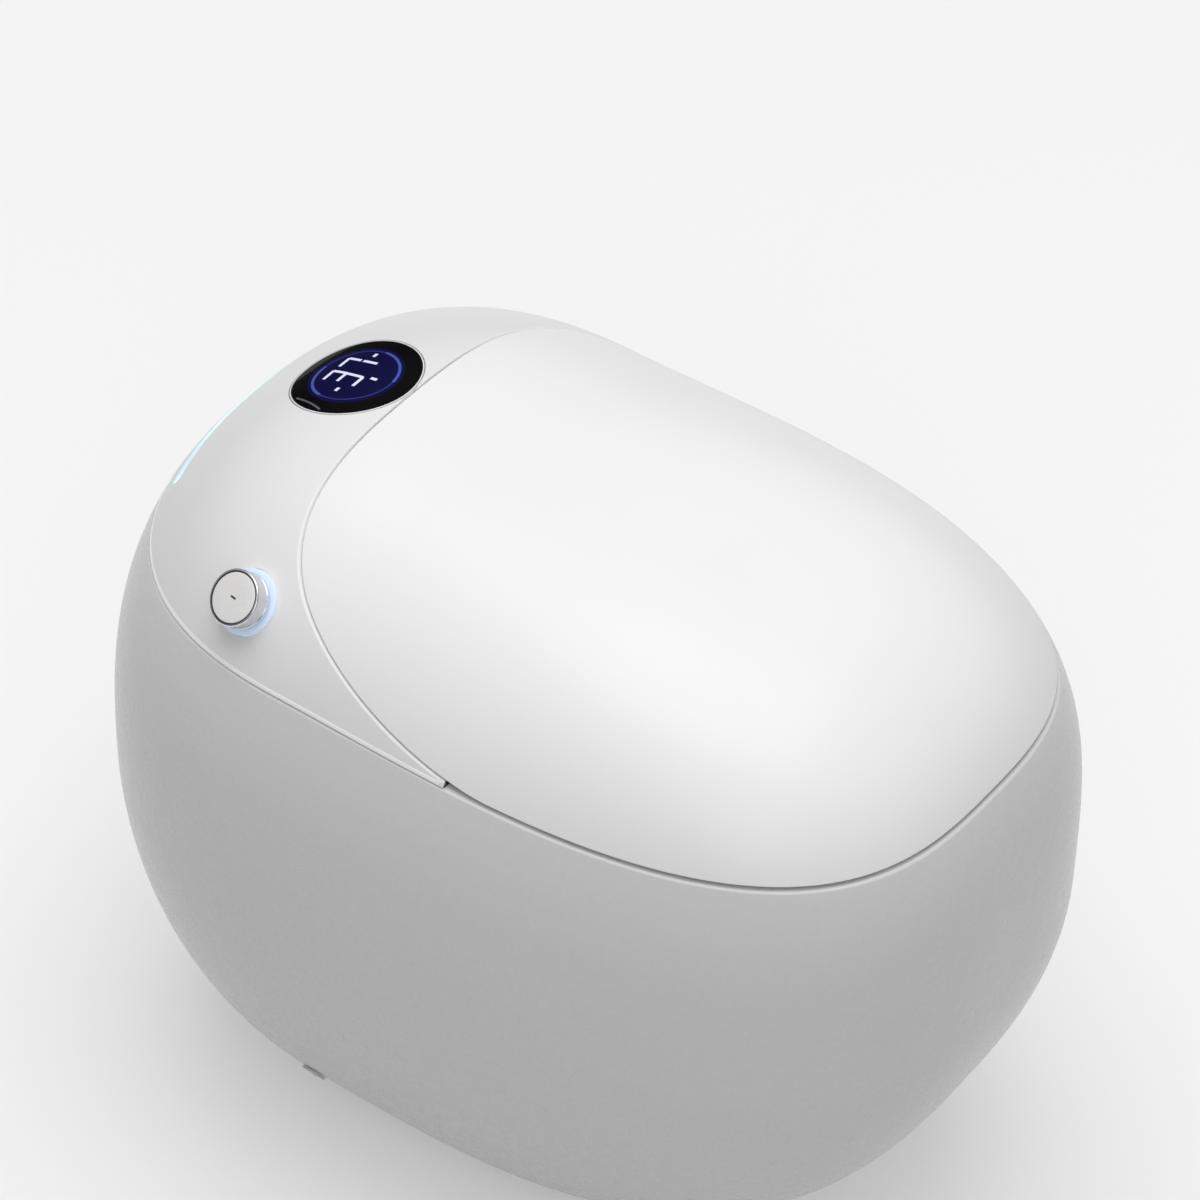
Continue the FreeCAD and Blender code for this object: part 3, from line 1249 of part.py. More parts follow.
def deodoriser_housing():
    """Open-topped box of the deodoriser fan, on the other side of the fascia."""
    low = V(-BLOWER_X[1] - 14, BLOWER_Y - 15, DECK_TOP)
    high = V(-BLOWER_X[0], BLOWER_Y + 15, DECK_TOP + 26)
    shell = box(low, high).cut(box(low + V(2, 2, 2), high + V(-2, -2, 1)))
    hole = box((-BLOWER_X[1] + 5, BLOWER_Y - 13, RIM_Z), (-BLOWER_X[0] - 5, BLOWER_Y - 6, DECK_TOP + 5))
    axle = rod(1.5, FAN_CENTRE + Z_AXIS * 2, FAN_CENTRE + Z_AXIS * 20)
    return shell.cut(hole).fuse(axle)


def deodoriser_impeller():
    """Fan wheel of the deodoriser."""
    return wheel(10.0, FAN_CENTRE + Z_AXIS * 4, FAN_CENTRE + Z_AXIS * 18, 1.5 + RUNNING, 12)


def carbon_filter():
    """Filter block beside the fan."""
    low = V(-BLOWER_X[1] - 11.8, BLOWER_Y - 12.8, DECK_TOP + 2)
    return box(low, low + V(8, 25, 22))


# ================================================================ parts behind the lid
def rounded_box(low, high, radius):
    """A box with all its edges rounded."""
    block = box(low, high)
    return block.makeFillet(radius, block.Edges)


def electronics():
    """Sub-parts on the base plate behind the wall, by name."""
    floor = DECK_TOP
    back = WALL_Y + HOUSING_WALL
    heater = rounded_box((44.0, back + 12, floor), (106.0, back + 66, floor + 27), 4.0)
    spouts = [rod(4.0, V(x, back + 13, floor + 13), V(x, back + 5, floor + 13)) for x in (58.0, 92.0)]
    valve = rounded_box((-16.0, back + 44, floor), (16.0, back + 70, floor + 26), 3.0)
    valve = valve.fuse(rod(5.0, V(0, back + 68, floor + 13), V(0, back + 80, floor + 13)))
    pump = rounded_box((46.0, back + 70, floor), (84.0, back + 96, floor + 16), 3.0)
    board = box((-112.0, back + 8, floor + 5), (-36.0, back + 64, floor + 6.6))
    posts = [rod(3.0, V(x, y, floor), V(x, y, floor + 5)) for x in (-106.0, -42.0) for y in (back + 13, back + 59)]
    chips = [box((-100.0, back + 16, floor + 6.6), (-72.0, back + 38, floor + 16)),
             box((-64.0, back + 18, floor + 6.6), (-46.0, back + 32, floor + 12)),
             box((-90.0, back + 45, floor + 6.6), (-60.0, back + 57, floor + 14))]
    return {
        "water_heater": join([heater] + spouts),
        "diverter_valve": valve,
        "air_pump": pump,
        "main_board": join([board] + posts + chips),
    }


def supply_hose():
    """Hose from the inlet valve up through the deck."""
    x, y = HOSE_PLACE
    return rod(HOSE_R, V(x, y, VALVE_TOP_Z), V(x, y, DECK_TOP + 10))


def inlet_valve():
    """Solenoid valve behind the service panel."""
    x, y = HOSE_PLACE
    body = rounded_box((x - 14, y - 12, VALVE_TOP_Z - 44), (x + 14, y + 10, VALVE_TOP_Z), 3.0)
    coil = rod(9.0, V(x, y - 12, VALVE_TOP_Z - 22), V(x, y - 26, VALVE_TOP_Z - 22))
    return body.fuse(coil)


# ================================================================ knob
def knob_place(height):
    """A place on the knob's axis above the housing."""
    return KNOB_BASE + KNOB_OUT * height


def knob_halo():
    """Glowing ring let into the housing under the knob."""
    return tube(HALO_R, KNOB_STEM_R + 2.0, knob_place(-6.0), knob_place(0.8))


def knob_encoder():
    """Switch and encoder that carry the knob's stem inside the housing."""
    case = rod(ENCODER_R, knob_place(-16.0), knob_place(-6.0))
    neck = rod(KNOB_STEM_R + 1.8, knob_place(-6.0), knob_place(0.5))
    return case.fuse(neck).cut(rod(KNOB_STEM_R + RUNNING, knob_place(-13.0), knob_place(5.0)))


def knob_stem():
    """Stem that slides in the encoder when the knob is pressed."""
    return rod(KNOB_STEM_R, knob_place(-11.5), knob_place(KNOB_HEIGHT - 5.0))


def knob_body():
    """Turned rim and skirt of the knob."""
    top = KNOB_HEIGHT
    body = rod(KNOB_R, knob_place(KNOB_LIFT), knob_place(top))
    edges = [e for e in body.Edges if e.Curve.TypeId == "Part::GeomCircle"]
    body = body.makeFillet(1.2, edges)
    body = body.cut(rod(KNOB_R - 2.5, knob_place(KNOB_LIFT - 1), knob_place(top - 6)))
    body = body.cut(rod(KNOB_R - 1.6, knob_place(top - 1.5), knob_place(top + 2)))
    body = body.fuse(rod(KNOB_STEM_R + 3.0, knob_place(KNOB_LIFT + 2), knob_place(top - 5)))
    return body.cut(rod(KNOB_STEM_R + RUNNING, knob_place(-5.0), knob_place(top - 4.9))).removeSplitter()


def knob_cap():
    """White disc on the knob's face."""
    disc = rod(KNOB_R - 1.8, knob_place(KNOB_HEIGHT - 1.5), knob_place(KNOB_HEIGHT - 0.2))
    return disc


# ================================================================ places worked out from the outline
DISPLAY_OUT = outward(0.0, DISPLAY_Y)
DISPLAY_CENTRE = V(0, DISPLAY_Y, top_height(0.0, DISPLAY_Y))
KNOB_X = -side_x(KNOB_Y, KNOB_Z)
KNOB_OUT = outward(KNOB_X, KNOB_Y)
KNOB_BASE = V(KNOB_X, KNOB_Y, KNOB_Z)


def build():
    """Makes every sub-part and writes it."""
    front_guide, rear_guide = wand_blocks()
    ring = seat_ring()
    parts = {
        "ceramic_body": ceramic_body(),
        "floor_seal": floor_seal(),
        "floor_brackets": mirrored(floor_bracket()),
        "side_screws": mirrored(side_screw()),
        "screw_caps": mirrored(screw_cap()),
        "service_panel": service_panel(),
        "service_screws": [panel_screw(place) for place in panel_screw_places()],
        "water_inlet": water_inlet(),
        "power_gland": power_gland(),
        "inlet_valve": inlet_valve(),
        "supply_hose": supply_hose(),
        "flush_tank": flush_tank(),
        "tank_lid": tank_lid(),
        "flush_pump": flush_pump(),
        "pump_impeller": pump_impeller(),
        "jet_hose": jet_hose(),
        "base_plate": base_plate(),
        "housing_gasket": housing_gasket(),
        "rear_housing": rear_housing(),
        "display_lens": display_lens(),
        "display_bezel": display_bezel(),
        "display_module": display_module(),
        "rear_light": rear_light(),
        "rear_fascia": rear_fascia(),
        "hinge_brackets": hinge_brackets(),
        "hinge_pins": hinge_pins(),
        "hinge_dampers": hinge_dampers(),
        "lid_shell": lid_shell(),
        "lid_liner": lid_liner(),
        "lid_bumpers": lid_bumpers(),
        "seat_top": seat_top(ring),
        "seat_base": seat_base(ring),
        "seat_heater": heater_groove(0.0),
        "seat_bumpers": seat_bumpers(),
        "wand_front_guide": front_guide,
        "wand_rear_guide": rear_guide,
        "wand_motors": wand_motors(),
        "wash_wand": wand_tube(-1),
        "wash_wand_tip": wand_tip(-1),
        "bidet_wand": wand_tube(1),
        "bidet_wand_tip": wand_tip(1),
        "dryer_duct": join([duct(1)] + flap_ears()),
        "dryer_flap": dryer_flap(),
        "dryer_blower": blower_housing(),
        "dryer_impeller": dryer_impeller(),
        "deodoriser_duct": duct(-1),
        "deodoriser_housing": deodoriser_housing(),
        "deodoriser_impeller": deodoriser_impeller(),
        "carbon_filter": carbon_filter(),
        "knob_halo": knob_halo(),
        "knob_encoder": knob_encoder(),
        "knob_stem": knob_stem(),
        "knob_body": knob_body(),
        "knob_cap": knob_cap(),
    }
    parts.update(electronics())
    for name, shapes in parts.items():
        export(name, shapes)


os.makedirs("parts", exist_ok=True)
build()
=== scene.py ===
"""Dressed model of a smart toilet with a heated seat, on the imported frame.

Sizes are in millimetres in this file and are turned into metres when a mesh is made.
"""

from __future__ import annotations

import json
import logging
import math
from dataclasses import dataclass
from enum import Enum
from typing import Callable, Iterable, Sequence

import bmesh
import bpy
import numpy as np
from mathutils import Matrix, Vector

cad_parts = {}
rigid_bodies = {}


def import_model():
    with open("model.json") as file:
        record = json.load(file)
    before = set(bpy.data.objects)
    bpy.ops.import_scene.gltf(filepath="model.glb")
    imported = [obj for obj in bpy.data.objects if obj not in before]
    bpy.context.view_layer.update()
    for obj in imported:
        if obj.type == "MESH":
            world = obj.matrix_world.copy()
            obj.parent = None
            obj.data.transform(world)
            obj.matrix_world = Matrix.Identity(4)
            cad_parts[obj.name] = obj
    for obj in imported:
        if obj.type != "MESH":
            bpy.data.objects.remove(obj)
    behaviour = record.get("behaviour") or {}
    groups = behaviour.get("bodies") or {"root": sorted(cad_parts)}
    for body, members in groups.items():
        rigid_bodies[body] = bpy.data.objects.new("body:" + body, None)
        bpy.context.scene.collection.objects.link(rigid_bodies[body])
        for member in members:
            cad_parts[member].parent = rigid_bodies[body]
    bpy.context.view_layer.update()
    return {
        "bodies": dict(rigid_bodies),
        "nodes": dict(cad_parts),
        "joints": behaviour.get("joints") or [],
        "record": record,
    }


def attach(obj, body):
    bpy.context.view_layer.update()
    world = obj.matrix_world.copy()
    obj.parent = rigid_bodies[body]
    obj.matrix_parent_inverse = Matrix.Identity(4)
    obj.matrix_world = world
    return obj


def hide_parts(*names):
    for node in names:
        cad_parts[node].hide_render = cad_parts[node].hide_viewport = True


log = logging.getLogger("scene")

MM = 0.001
FULL_TURN = 2 * math.pi
QUARTER_TURN = math.pi / 2
BISECTIONS = 50

Tree = bpy.types.NodeTree
Node = bpy.types.Node
Socket = bpy.types.NodeSocket


# ---------------------------------------------------------------------------
# Sums
# ---------------------------------------------------------------------------
def hermite(share: float, ends: Sequence, slopes: Sequence) -> np.ndarray:
    """A place on the smooth curve between two ends.

    Args:
        share: way from the first end to the second, 0 to 1.
        ends: the two ends.
        slopes: the curve's slopes at the ends, over the whole way.

    Returns:
        The place.
    """
    square, cube = share**2, share**3
    return (
        (2 * cube - 3 * square + 1) * ends[0]
        + (cube - 2 * square + share) * slopes[0]
        + (3 * square - 2 * cube) * ends[1]
        + (cube - square) * slopes[1]
    )


def turning_point(low: float, high: float, holds: Callable[[float], bool]) -> float:
    """Where a test that holds at low stops holding on the way to high."""
    for _ in range(BISECTIONS):
        middle = (low + high) / 2
        low, high = (middle, high) if holds(middle) else (low, middle)
    return low


def full_circle(columns: int) -> np.ndarray:
    """Directions round a full turn."""
    return np.linspace(0.0, FULL_TURN, columns, endpoint=False)


# ---------------------------------------------------------------------------
# Sizes
# ---------------------------------------------------------------------------
@dataclass(frozen=True)
class Outline:
    """The egg-shaped outline: a plan curve times a side curve."""

    half_width: float = 220.0
    front_reach: float = 403.0
    rear_reach: float = 213.0
    widest_z: float = 249.0
    crown_rise: float = 241.0
    base_drop: float = 305.0
    front_plan: float = 2.9
    rear_plan: float = 2.35
    lower_side: float = 1.95
    upper_side: float = 2.65
    front_squaring: float = 1.2
    rear_squaring: float = 0.15
    shoulder_y: float = 95.0

    def side_power(
        self, lengthwise: np.ndarray, rear: np.ndarray, upper: np.ndarray
    ) -> np.ndarray:
        """Squareness of the side curve.

        Args:
            lengthwise: share of the direction that lies along the body.
            rear: true behind the shoulder.
            upper: true above the widest ring.

        Returns:
            The exponent at each place.
        """
        squaring = np.where(rear, self.rear_squaring, self.front_squaring)
        return np.where(upper, self.upper_side + squaring * lengthwise**2, self.lower_side)

    def spread(self, x: np.ndarray, y: np.ndarray, inset: float) -> tuple:
        """Share of the way from the middle to the plan curve.

        Args:
            x: places across.
            y: places along.
            inset: distance inwards from the outside.

        Returns:
            The share, its lengthwise part and whether it lies behind the shoulder.
        """
        along = y - self.shoulder_y
        rear = along > 0
        reach = np.where(rear, self.rear_reach, self.front_reach) - inset
        power = np.where(rear, self.rear_plan, self.front_plan)
        a = np.abs(x) / (self.half_width - inset)
        b = np.abs(along) / reach
        spread = (a**power + b**power) ** (1.0 / power)
        lengthwise = b / np.maximum(spread, 1e-9)
        return spread, lengthwise, rear

    def height(self, x: np.ndarray, y: np.ndarray, inset: float = 0.0) -> np.ndarray:
        """Height of the upper half above places in plan, or the widest ring's outside it."""
        x = np.asarray(x, dtype=float)
        y = np.asarray(y, dtype=float)
        spread, lengthwise, rear = self.spread(x, y, inset)
        power = self.side_power(lengthwise, rear, np.ones_like(rear, dtype=bool))
        inside = np.clip(1.0 - np.minimum(spread, 1.0) ** power, 0.0, 1.0)
        return self.widest_z + (self.crown_rise - inset) * inside ** (1.0 / power)

    def reach(self, turn: np.ndarray, z: np.ndarray, inset: float = 0.0) -> np.ndarray:
        """Distance from the shoulder axis to the outline in a direction, at a height."""
        sine, cosine = np.sin(turn), np.cos(turn)
        rear = sine > 0
        length = np.where(rear, self.rear_reach, self.front_reach) - inset
        power = np.where(rear, self.rear_plan, self.front_plan)
        a = np.abs(cosine) / (self.half_width - inset)
        b = np.abs(sine) / length
        plan = (a**power + b**power) ** (-1.0 / power)
        upper = z > self.widest_z
        rise = np.where(upper, self.crown_rise, self.base_drop) - inset
        side = self.side_power(np.abs(sine) * plan / length, rear, upper)
        climb = np.clip(np.abs(z - self.widest_z) / rise, 0.0, 1.0)
        share = np.clip(1.0 - climb**side, 0.0, 1.0)
        return plan * share ** (1.0 / side)

    def ring(self, turns: np.ndarray, z: float | np.ndarray, inset: float = 0.0) -> np.ndarray:
        """The outline's level ring at a height, as points."""
        heights = np.broadcast_to(np.asarray(z, dtype=float), turns.shape)
        reach = self.reach(turns, heights, inset)
        return np.stack(
            [reach * np.cos(turns), self.shoulder_y + reach * np.sin(turns), heights], axis=-1
        )

    def excess(self, points: np.ndarray) -> np.ndarray:
        """Zero on the outside surface, below zero inside it."""
        x, y, z = points[..., 0], points[..., 1], points[..., 2]
        spread, lengthwise, rear = self.spread(x, y, 0.0)
        upper = z > self.widest_z
        power = self.side_power(np.clip(lengthwise, 0.0, 1.0), rear, upper)
        rise = np.abs(z - self.widest_z) / np.where(upper, self.crown_rise, self.base_drop)
        return (spread**power + rise**power) ** (1.0 / power) - 1.0

    def normals(self, points: np.ndarray) -> np.ndarray:
        """Outward directions of the outline at points near it."""
        step = 0.05
        slopes = []
        for axis in range(3):
            move = np.zeros(3)
            move[axis] = step
            slopes.append(self.excess(points + move) - self.excess(points - move))
        slopes = np.stack(slopes, axis=-1)
        return slopes / np.maximum(np.linalg.norm(slopes, axis=-1, keepdims=True), 1e-12)


@dataclass(frozen=True)
class Split:
    """How the outline is split into ceramic, lid and rear housing."""

    rim_z: float = 403.0
    lid_lift: float = 2.5
    seam_gap: float = 1.2
    gasket: float = 1.0
    seam_back_y: float = 143.0
    seam_front_y: float = -60.0
    seam_top_z: float = 489.0
    seam_power: float = 1.6
    tip_y: float = -30.0

    def seam_z(self, y: np.ndarray, gap: float) -> np.ndarray:
        """Height of the lid's rear edge at a station, moved towards the housing by gap."""
        length = self.seam_back_y - self.seam_front_y + gap
        drop = self.seam_top_z - self.rim_z - self.lid_lift + gap
        share = np.clip((y - self.seam_front_y) / length, 0.0, 1.0)
        return self.seam_top_z - drop * (1.0 - share**self.seam_power) ** (1.0 / self.seam_power)


@dataclass(frozen=True)
class Hinge:
    """The pins that the seat and lid turn on."""

    y: float = 118.0
    z: float = 470.0
    barrel_r: float = 9.0
    pin_hole_r: float = 3.55
    seat_arm: tuple[float, float] = (42.0, 52.0)
    lid_lug: tuple[float, float] = (53.5, 61.0)

    def barrel(self, first: float, last: float, steps: int) -> list[tuple[float, float]]:
        """Points (along, up) round the barrel between two turns."""
        return [
            (self.y + self.barrel_r * math.cos(turn), self.z + self.barrel_r * math.sin(turn))
            for turn in np.linspace(first, last, steps)
        ]


@dataclass(frozen=True)
class Bowl:
    """Level sections of the bowl: height, centre, half width, half length."""

    sections: tuple = (
        (403.0, -97.0, 108.0, 132.0),
        (368.0, -97.0, 110.0, 133.0),
        (318.0, -92.0, 98.0, 118.0),
        (258.0, -82.0, 76.0, 92.0),
        (198.0, -70.0, 52.0, 60.0),
        (143.0, -62.0, 34.0, 38.0),
        (103.0, -58.0, 27.0, 29.0),
        (63.0, -56.0, 20.0, 20.0),
    )
    power: float = 2.4
    wall: float = 12.0

    def section(self, z: float) -> tuple[float, float, float]:
        """Centre, half width and half length at a height, on a smooth line through the sections."""
        rows = np.array(self.sections)[::-1]
        heights, values = rows[:, 0], rows[:, 1:]
        slopes = np.gradient(values, heights, axis=0)
        z = float(np.clip(z, heights[0], heights[-1]))
        k = int(np.clip(np.searchsorted(heights, z) - 1, 0, len(heights) - 2))
        span = heights[k + 1] - heights[k]
        value = hermite((z - heights[k]) / span, values[k:k + 2], span * slopes[k:k + 2])
        return float(value[0]), float(value[1]), float(value[2])

    def ring(
        self, turns: np.ndarray, z: float, grow: float = 0.0, at: float | None = None
    ) -> np.ndarray:
        """The bowl's level ring, grown outwards, drawn at the height at."""
        centre, wide, long = self.section(z)
        size = np.abs(np.cos(turns)) ** self.power / (wide + grow) ** self.power
        size = size + np.abs(np.sin(turns)) ** self.power / (long + grow) ** self.power
        reach = size ** (-1.0 / self.power)
        level = z if at is None else at
        x, y = reach * np.cos(turns), centre + reach * np.sin(turns)
        return np.stack([x, y, np.full_like(turns, level)], axis=-1)


OUTLINE = Outline()
SPLIT = Split()
HINGE = Hinge()
BOWL = Bowl()


# ---------------------------------------------------------------------------
# Finishes
# ---------------------------------------------------------------------------
class Pattern(Enum):
    """The small-scale texture of a finish."""

    GLAZE = "glaze"
    MOULDED = "moulded"
    BRUSHED = "brushed"
    TURNED = "turned"
    RUBBER = "rubber"
    FOAM = "foam"
    CIRCUIT = "circuit"
    GLOW = "glow"


def noise(tree: Tree, vector: Socket, scale: float, detail: float = 2.0) -> Socket:
    """A noise texture with a number of waves to the metre."""
    made = tree.nodes.new("ShaderNodeTexNoise")
    made.inputs["Scale"].default_value = scale
    made.inputs["Detail"].default_value = detail
    tree.links.new(vector, made.inputs["Vector"])
    return made.outputs["Fac"]


def ramp(tree: Tree, share: Socket, *stops: tuple[float, Sequence[float]]) -> Socket:
    """A colour between two stops, each a position and a colour."""
    made = tree.nodes.new("ShaderNodeValToRGB")
    for element, (position, colour) in zip(made.color_ramp.elements, stops):
        element.position = position
        element.color = (*colour, 1.0)
    tree.links.new(share, made.inputs["Fac"])
    return made.outputs["Color"]


def spanned(tree: Tree, share: Socket, low: float, high: float, **limits: float) -> Socket:
    """A value from low to high, as the share goes between its limits (0 to 1 if not given)."""
    made = tree.nodes.new("ShaderNodeMapRange")
    for name, value in limits.items():
        made.inputs[name.replace("_", " ").title()].default_value = value
    made.inputs["To Min"].default_value = low
    made.inputs["To Max"].default_value = high
    tree.links.new(share, made.inputs["Value"])
    return made.outputs["Result"]


STRETCH = {Pattern.BRUSHED: (1.0, 1.0, 30.0), Pattern.TURNED: (1.0, 30.0, 1.0)}
BROAD_SHARE = 0.12
COAT_ROUGHNESS = 0.03


@dataclass(frozen=True)
class Finish:
    """A procedural material.

    The colour varies a little around base, the roughness between two values, and a bump follows
    the pattern.
    """

    name: str
    base: tuple[float, float, float]
    pattern: Pattern
    variation: float = 0.03
    roughness: tuple[float, float] = (0.1, 0.2)
    metallic: float = 0.0
    coat: float = 0.0
    scale: float = 60.0
    bump: float = 0.05
    specular: float = 0.5
    glow: tuple[float, float, float] | None = None
    glow_strength: float = 0.0

    def material(self) -> bpy.types.Material:
        """The finish as a Blender material, made once."""
        found = bpy.data.materials.get(self.name)
        if found is not None and found.use_nodes and found.get("finish"):
            return found
        made = bpy.data.materials.new(self.name)
        made["finish"] = 1
        made.use_nodes = True
        tree = made.node_tree
        shader = tree.nodes["Principled BSDF"]
        shader.inputs["Metallic"].default_value = self.metallic
        shader.inputs["Specular IOR Level"].default_value = self.specular
        shader.inputs["Coat Weight"].default_value = self.coat
        shader.inputs["Coat Roughness"].default_value = COAT_ROUGHNESS
        vector = tree.nodes.new("ShaderNodeTexCoord").outputs["Object"]
        if self.pattern in STRETCH:
            stretch = tree.nodes.new("ShaderNodeMapping")
            stretch.inputs["Scale"].default_value = STRETCH[self.pattern]
            tree.links.new(vector, stretch.inputs["Vector"])
            vector = stretch.outputs["Vector"]
        broad = noise(tree, vector, self.scale * BROAD_SHARE)
        fine = noise(tree, vector, self.scale, 4.0)
        rough = spanned(tree, fine, *self.roughness, from_min=0.3, from_max=0.7)
        tree.links.new(self._colour(tree, broad, fine), shader.inputs["Base Color"])
        tree.links.new(rough, shader.inputs["Roughness"])
        tree.links.new(self._relief(tree, broad, fine, vector), shader.inputs["Normal"])
        if self.glow is not None:
            self._glow(tree, shader, broad)
        return made

    def _colour(self, tree: Tree, broad: Socket, fine: Socket) -> Socket:
        """Base colour between a slightly darker and a slightly lighter tone."""
        dark = [max(0.0, c * (1.0 - self.variation)) for c in self.base]
        light = [min(1.0, c * (1.0 + self.variation)) for c in self.base]
        strong = self.pattern in (Pattern.FOAM, Pattern.CIRCUIT, *STRETCH)
        return ramp(tree, fine if strong else broad, (0.35, dark), (0.65, light))

    def _relief(self, tree: Tree, broad: Socket, fine: Socket, vector: Socket) -> Socket:
        """Surface relief of the pattern: waves in a glaze, cells in foam, grain elsewhere."""
        glazed = self.pattern is Pattern.GLAZE
        source = broad if glazed else fine
        if self.pattern is Pattern.FOAM:
            cells = tree.nodes.new("ShaderNodeTexVoronoi")
            cells.inputs["Scale"].default_value = self.scale * 6.0
            tree.links.new(vector, cells.inputs["Vector"])
            source = cells.outputs["Distance"]
        bump = tree.nodes.new("ShaderNodeBump")
        bump.inputs["Strength"].default_value = self.bump
        bump.inputs["Distance"].default_value = 0.0004 if glazed else 0.0002
        tree.links.new(source, bump.inputs["Height"])
        return bump.outputs["Normal"]

    def _glow(self, tree: Tree, shader: Node, broad: Socket) -> None:
        """Light given off, a little uneven along the part."""
        shader.inputs["Emission Color"].default_value = (*self.glow, 1.0)
        strength = spanned(tree, broad, self.glow_strength * 0.85, self.glow_strength * 1.1)
        tree.links.new(strength, shader.inputs["Emission Strength"])


CERAMIC = Finish("glazed_ceramic", (0.69, 0.69, 0.693), Pattern.GLAZE, 0.003, (0.26, 0.29),
                 coat=0.05, scale=60.0, bump=0.006, specular=0.25)
LID_WHITE = Finish("lid_white", (0.85, 0.85, 0.852), Pattern.MOULDED, 0.006, (0.34, 0.40),
                   coat=0.05, scale=90.0, bump=0.01, specular=0.3)
HOUSING_WHITE = Finish("housing_white", (0.79, 0.79, 0.793), Pattern.MOULDED, 0.008, (0.30, 0.36),
                       coat=0.05, scale=90.0, bump=0.01, specular=0.4)
# Painted highlight: brighter and glossier than the housing's white, for the bright line that light
# makes along the housing's bottom edge.
PAINTED_HIGHLIGHT_WHITE = Finish("painted_highlight_white", (0.95, 0.95, 0.955), Pattern.MOULDED, 0.004, (0.15, 0.2),
                    coat=0.4, scale=90.0, bump=0.01)
SEAT_WHITE = Finish("seat_white", (0.80, 0.80, 0.803), Pattern.MOULDED, 0.012, (0.22, 0.3),
                    scale=110.0, bump=0.05)
TRIM_WHITE = Finish("trim_white", (0.70, 0.70, 0.70), Pattern.MOULDED, 0.02, (0.25, 0.4),
                    scale=160.0, bump=0.1)
GREY_PLASTIC = Finish("grey_plastic", (0.34, 0.35, 0.37), Pattern.MOULDED, 0.06, (0.4, 0.6),
                      scale=300.0, bump=0.25)
DARK_PLASTIC = Finish("dark_plastic", (0.03, 0.03, 0.034), Pattern.MOULDED, 0.2, (0.4, 0.6),
                      scale=300.0, bump=0.25)
SOFT_RUBBER = Finish("soft_rubber", (0.50, 0.50, 0.50), Pattern.RUBBER, 0.05, (0.6, 0.8),
                     scale=500.0, bump=0.2)
GASKET_DARK = Finish("gasket", (0.07, 0.07, 0.075), Pattern.FOAM, 0.25, (0.7, 0.9), scale=400.0,
                     bump=0.3)
HOSE = Finish("hose_rubber", (0.05, 0.05, 0.055), Pattern.RUBBER, 0.15, (0.5, 0.7), scale=400.0,
              bump=0.2)
STEEL = Finish("brushed_steel", (0.56, 0.56, 0.57), Pattern.BRUSHED, 0.12, (0.25, 0.4),
               metallic=1.0, scale=220.0, bump=0.08)
CHROME = Finish("satin_chrome", (0.70, 0.71, 0.73), Pattern.TURNED, 0.06, (0.14, 0.24),
                metallic=1.0, scale=160.0, bump=0.03)
BRASS = Finish("brass", (0.62, 0.45, 0.20), Pattern.TURNED, 0.1, (0.25, 0.4), metallic=1.0,
               scale=160.0, bump=0.05)
BEZEL = Finish("pale_bezel", (0.84, 0.84, 0.845), Pattern.MOULDED, 0.01, (0.2, 0.3), scale=120.0,
               bump=0.01, coat=0.2)
GLASS_BLACK = Finish("display_glass", (0.001, 0.001, 0.0016), Pattern.MOULDED, 0.3, (0.06, 0.09),
                     scale=40.0, bump=0.0, specular=0.06)
NAVY = Finish("display_panel", (0.001, 0.001, 0.006), Pattern.MOULDED, 0.3, (0.1, 0.2), scale=60.0,
              bump=0.0, specular=0.05, glow=(0.06, 0.07, 1.0), glow_strength=0.04)
BLUE_DIM = Finish("blue_dim", (0.01, 0.01, 0.05), Pattern.GLOW, 0.2, (0.2, 0.3), scale=90.0,
                  bump=0.0, specular=0.05, glow=(0.14, 0.14, 1.0), glow_strength=0.15)
BLUE_MARK = Finish("blue_mark", (0.02, 0.03, 0.12), Pattern.GLOW, 0.2, (0.2, 0.3), scale=90.0,
                   bump=0.0, specular=0.05, glow=(0.16, 0.20, 1.0), glow_strength=0.30)
WHITE_MARK = Finish("white_mark", (0.5, 0.5, 0.6), Pattern.GLOW, 0.05, (0.2, 0.3), scale=90.0,
                    bump=0.0, glow=(0.78, 0.78, 1.0), glow_strength=0.45)
GREY_MARK = Finish("grey_mark", (0.10, 0.10, 0.11), Pattern.MOULDED, 0.2, (0.2, 0.3), scale=120.0,
                   bump=0.02)
ICE_GLOW = Finish("ice_glow", (0.55, 0.80, 0.88), Pattern.GLOW, 0.04, (0.2, 0.3), scale=60.0,
                  bump=0.02, glow=(0.62, 0.93, 1.0), glow_strength=0.42)
HALO_GLOW = Finish("halo_glow", (0.60, 0.68, 0.80), Pattern.GLOW, 0.04, (0.2, 0.3), scale=60.0,
                   bump=0.02, glow=(0.60, 0.78, 1.0), glow_strength=0.26)
KNOB_WHITE = Finish("knob_white", (0.80, 0.79, 0.785), Pattern.MOULDED, 0.015, (0.25, 0.35),
                    scale=200.0, bump=0.02)
HEATING_FILM = Finish("heating_film", (0.45, 0.16, 0.04), Pattern.BRUSHED, 0.2, (0.3, 0.5),
                      scale=200.0)
CARBON = Finish("carbon", (0.012, 0.012, 0.012), Pattern.FOAM, 0.4, (0.8, 1.0), scale=300.0,
                bump=0.6)
CIRCUIT = Finish("circuit_board", (0.01, 0.12, 0.03), Pattern.CIRCUIT, 0.35, (0.3, 0.5),
                 scale=400.0, bump=0.2)

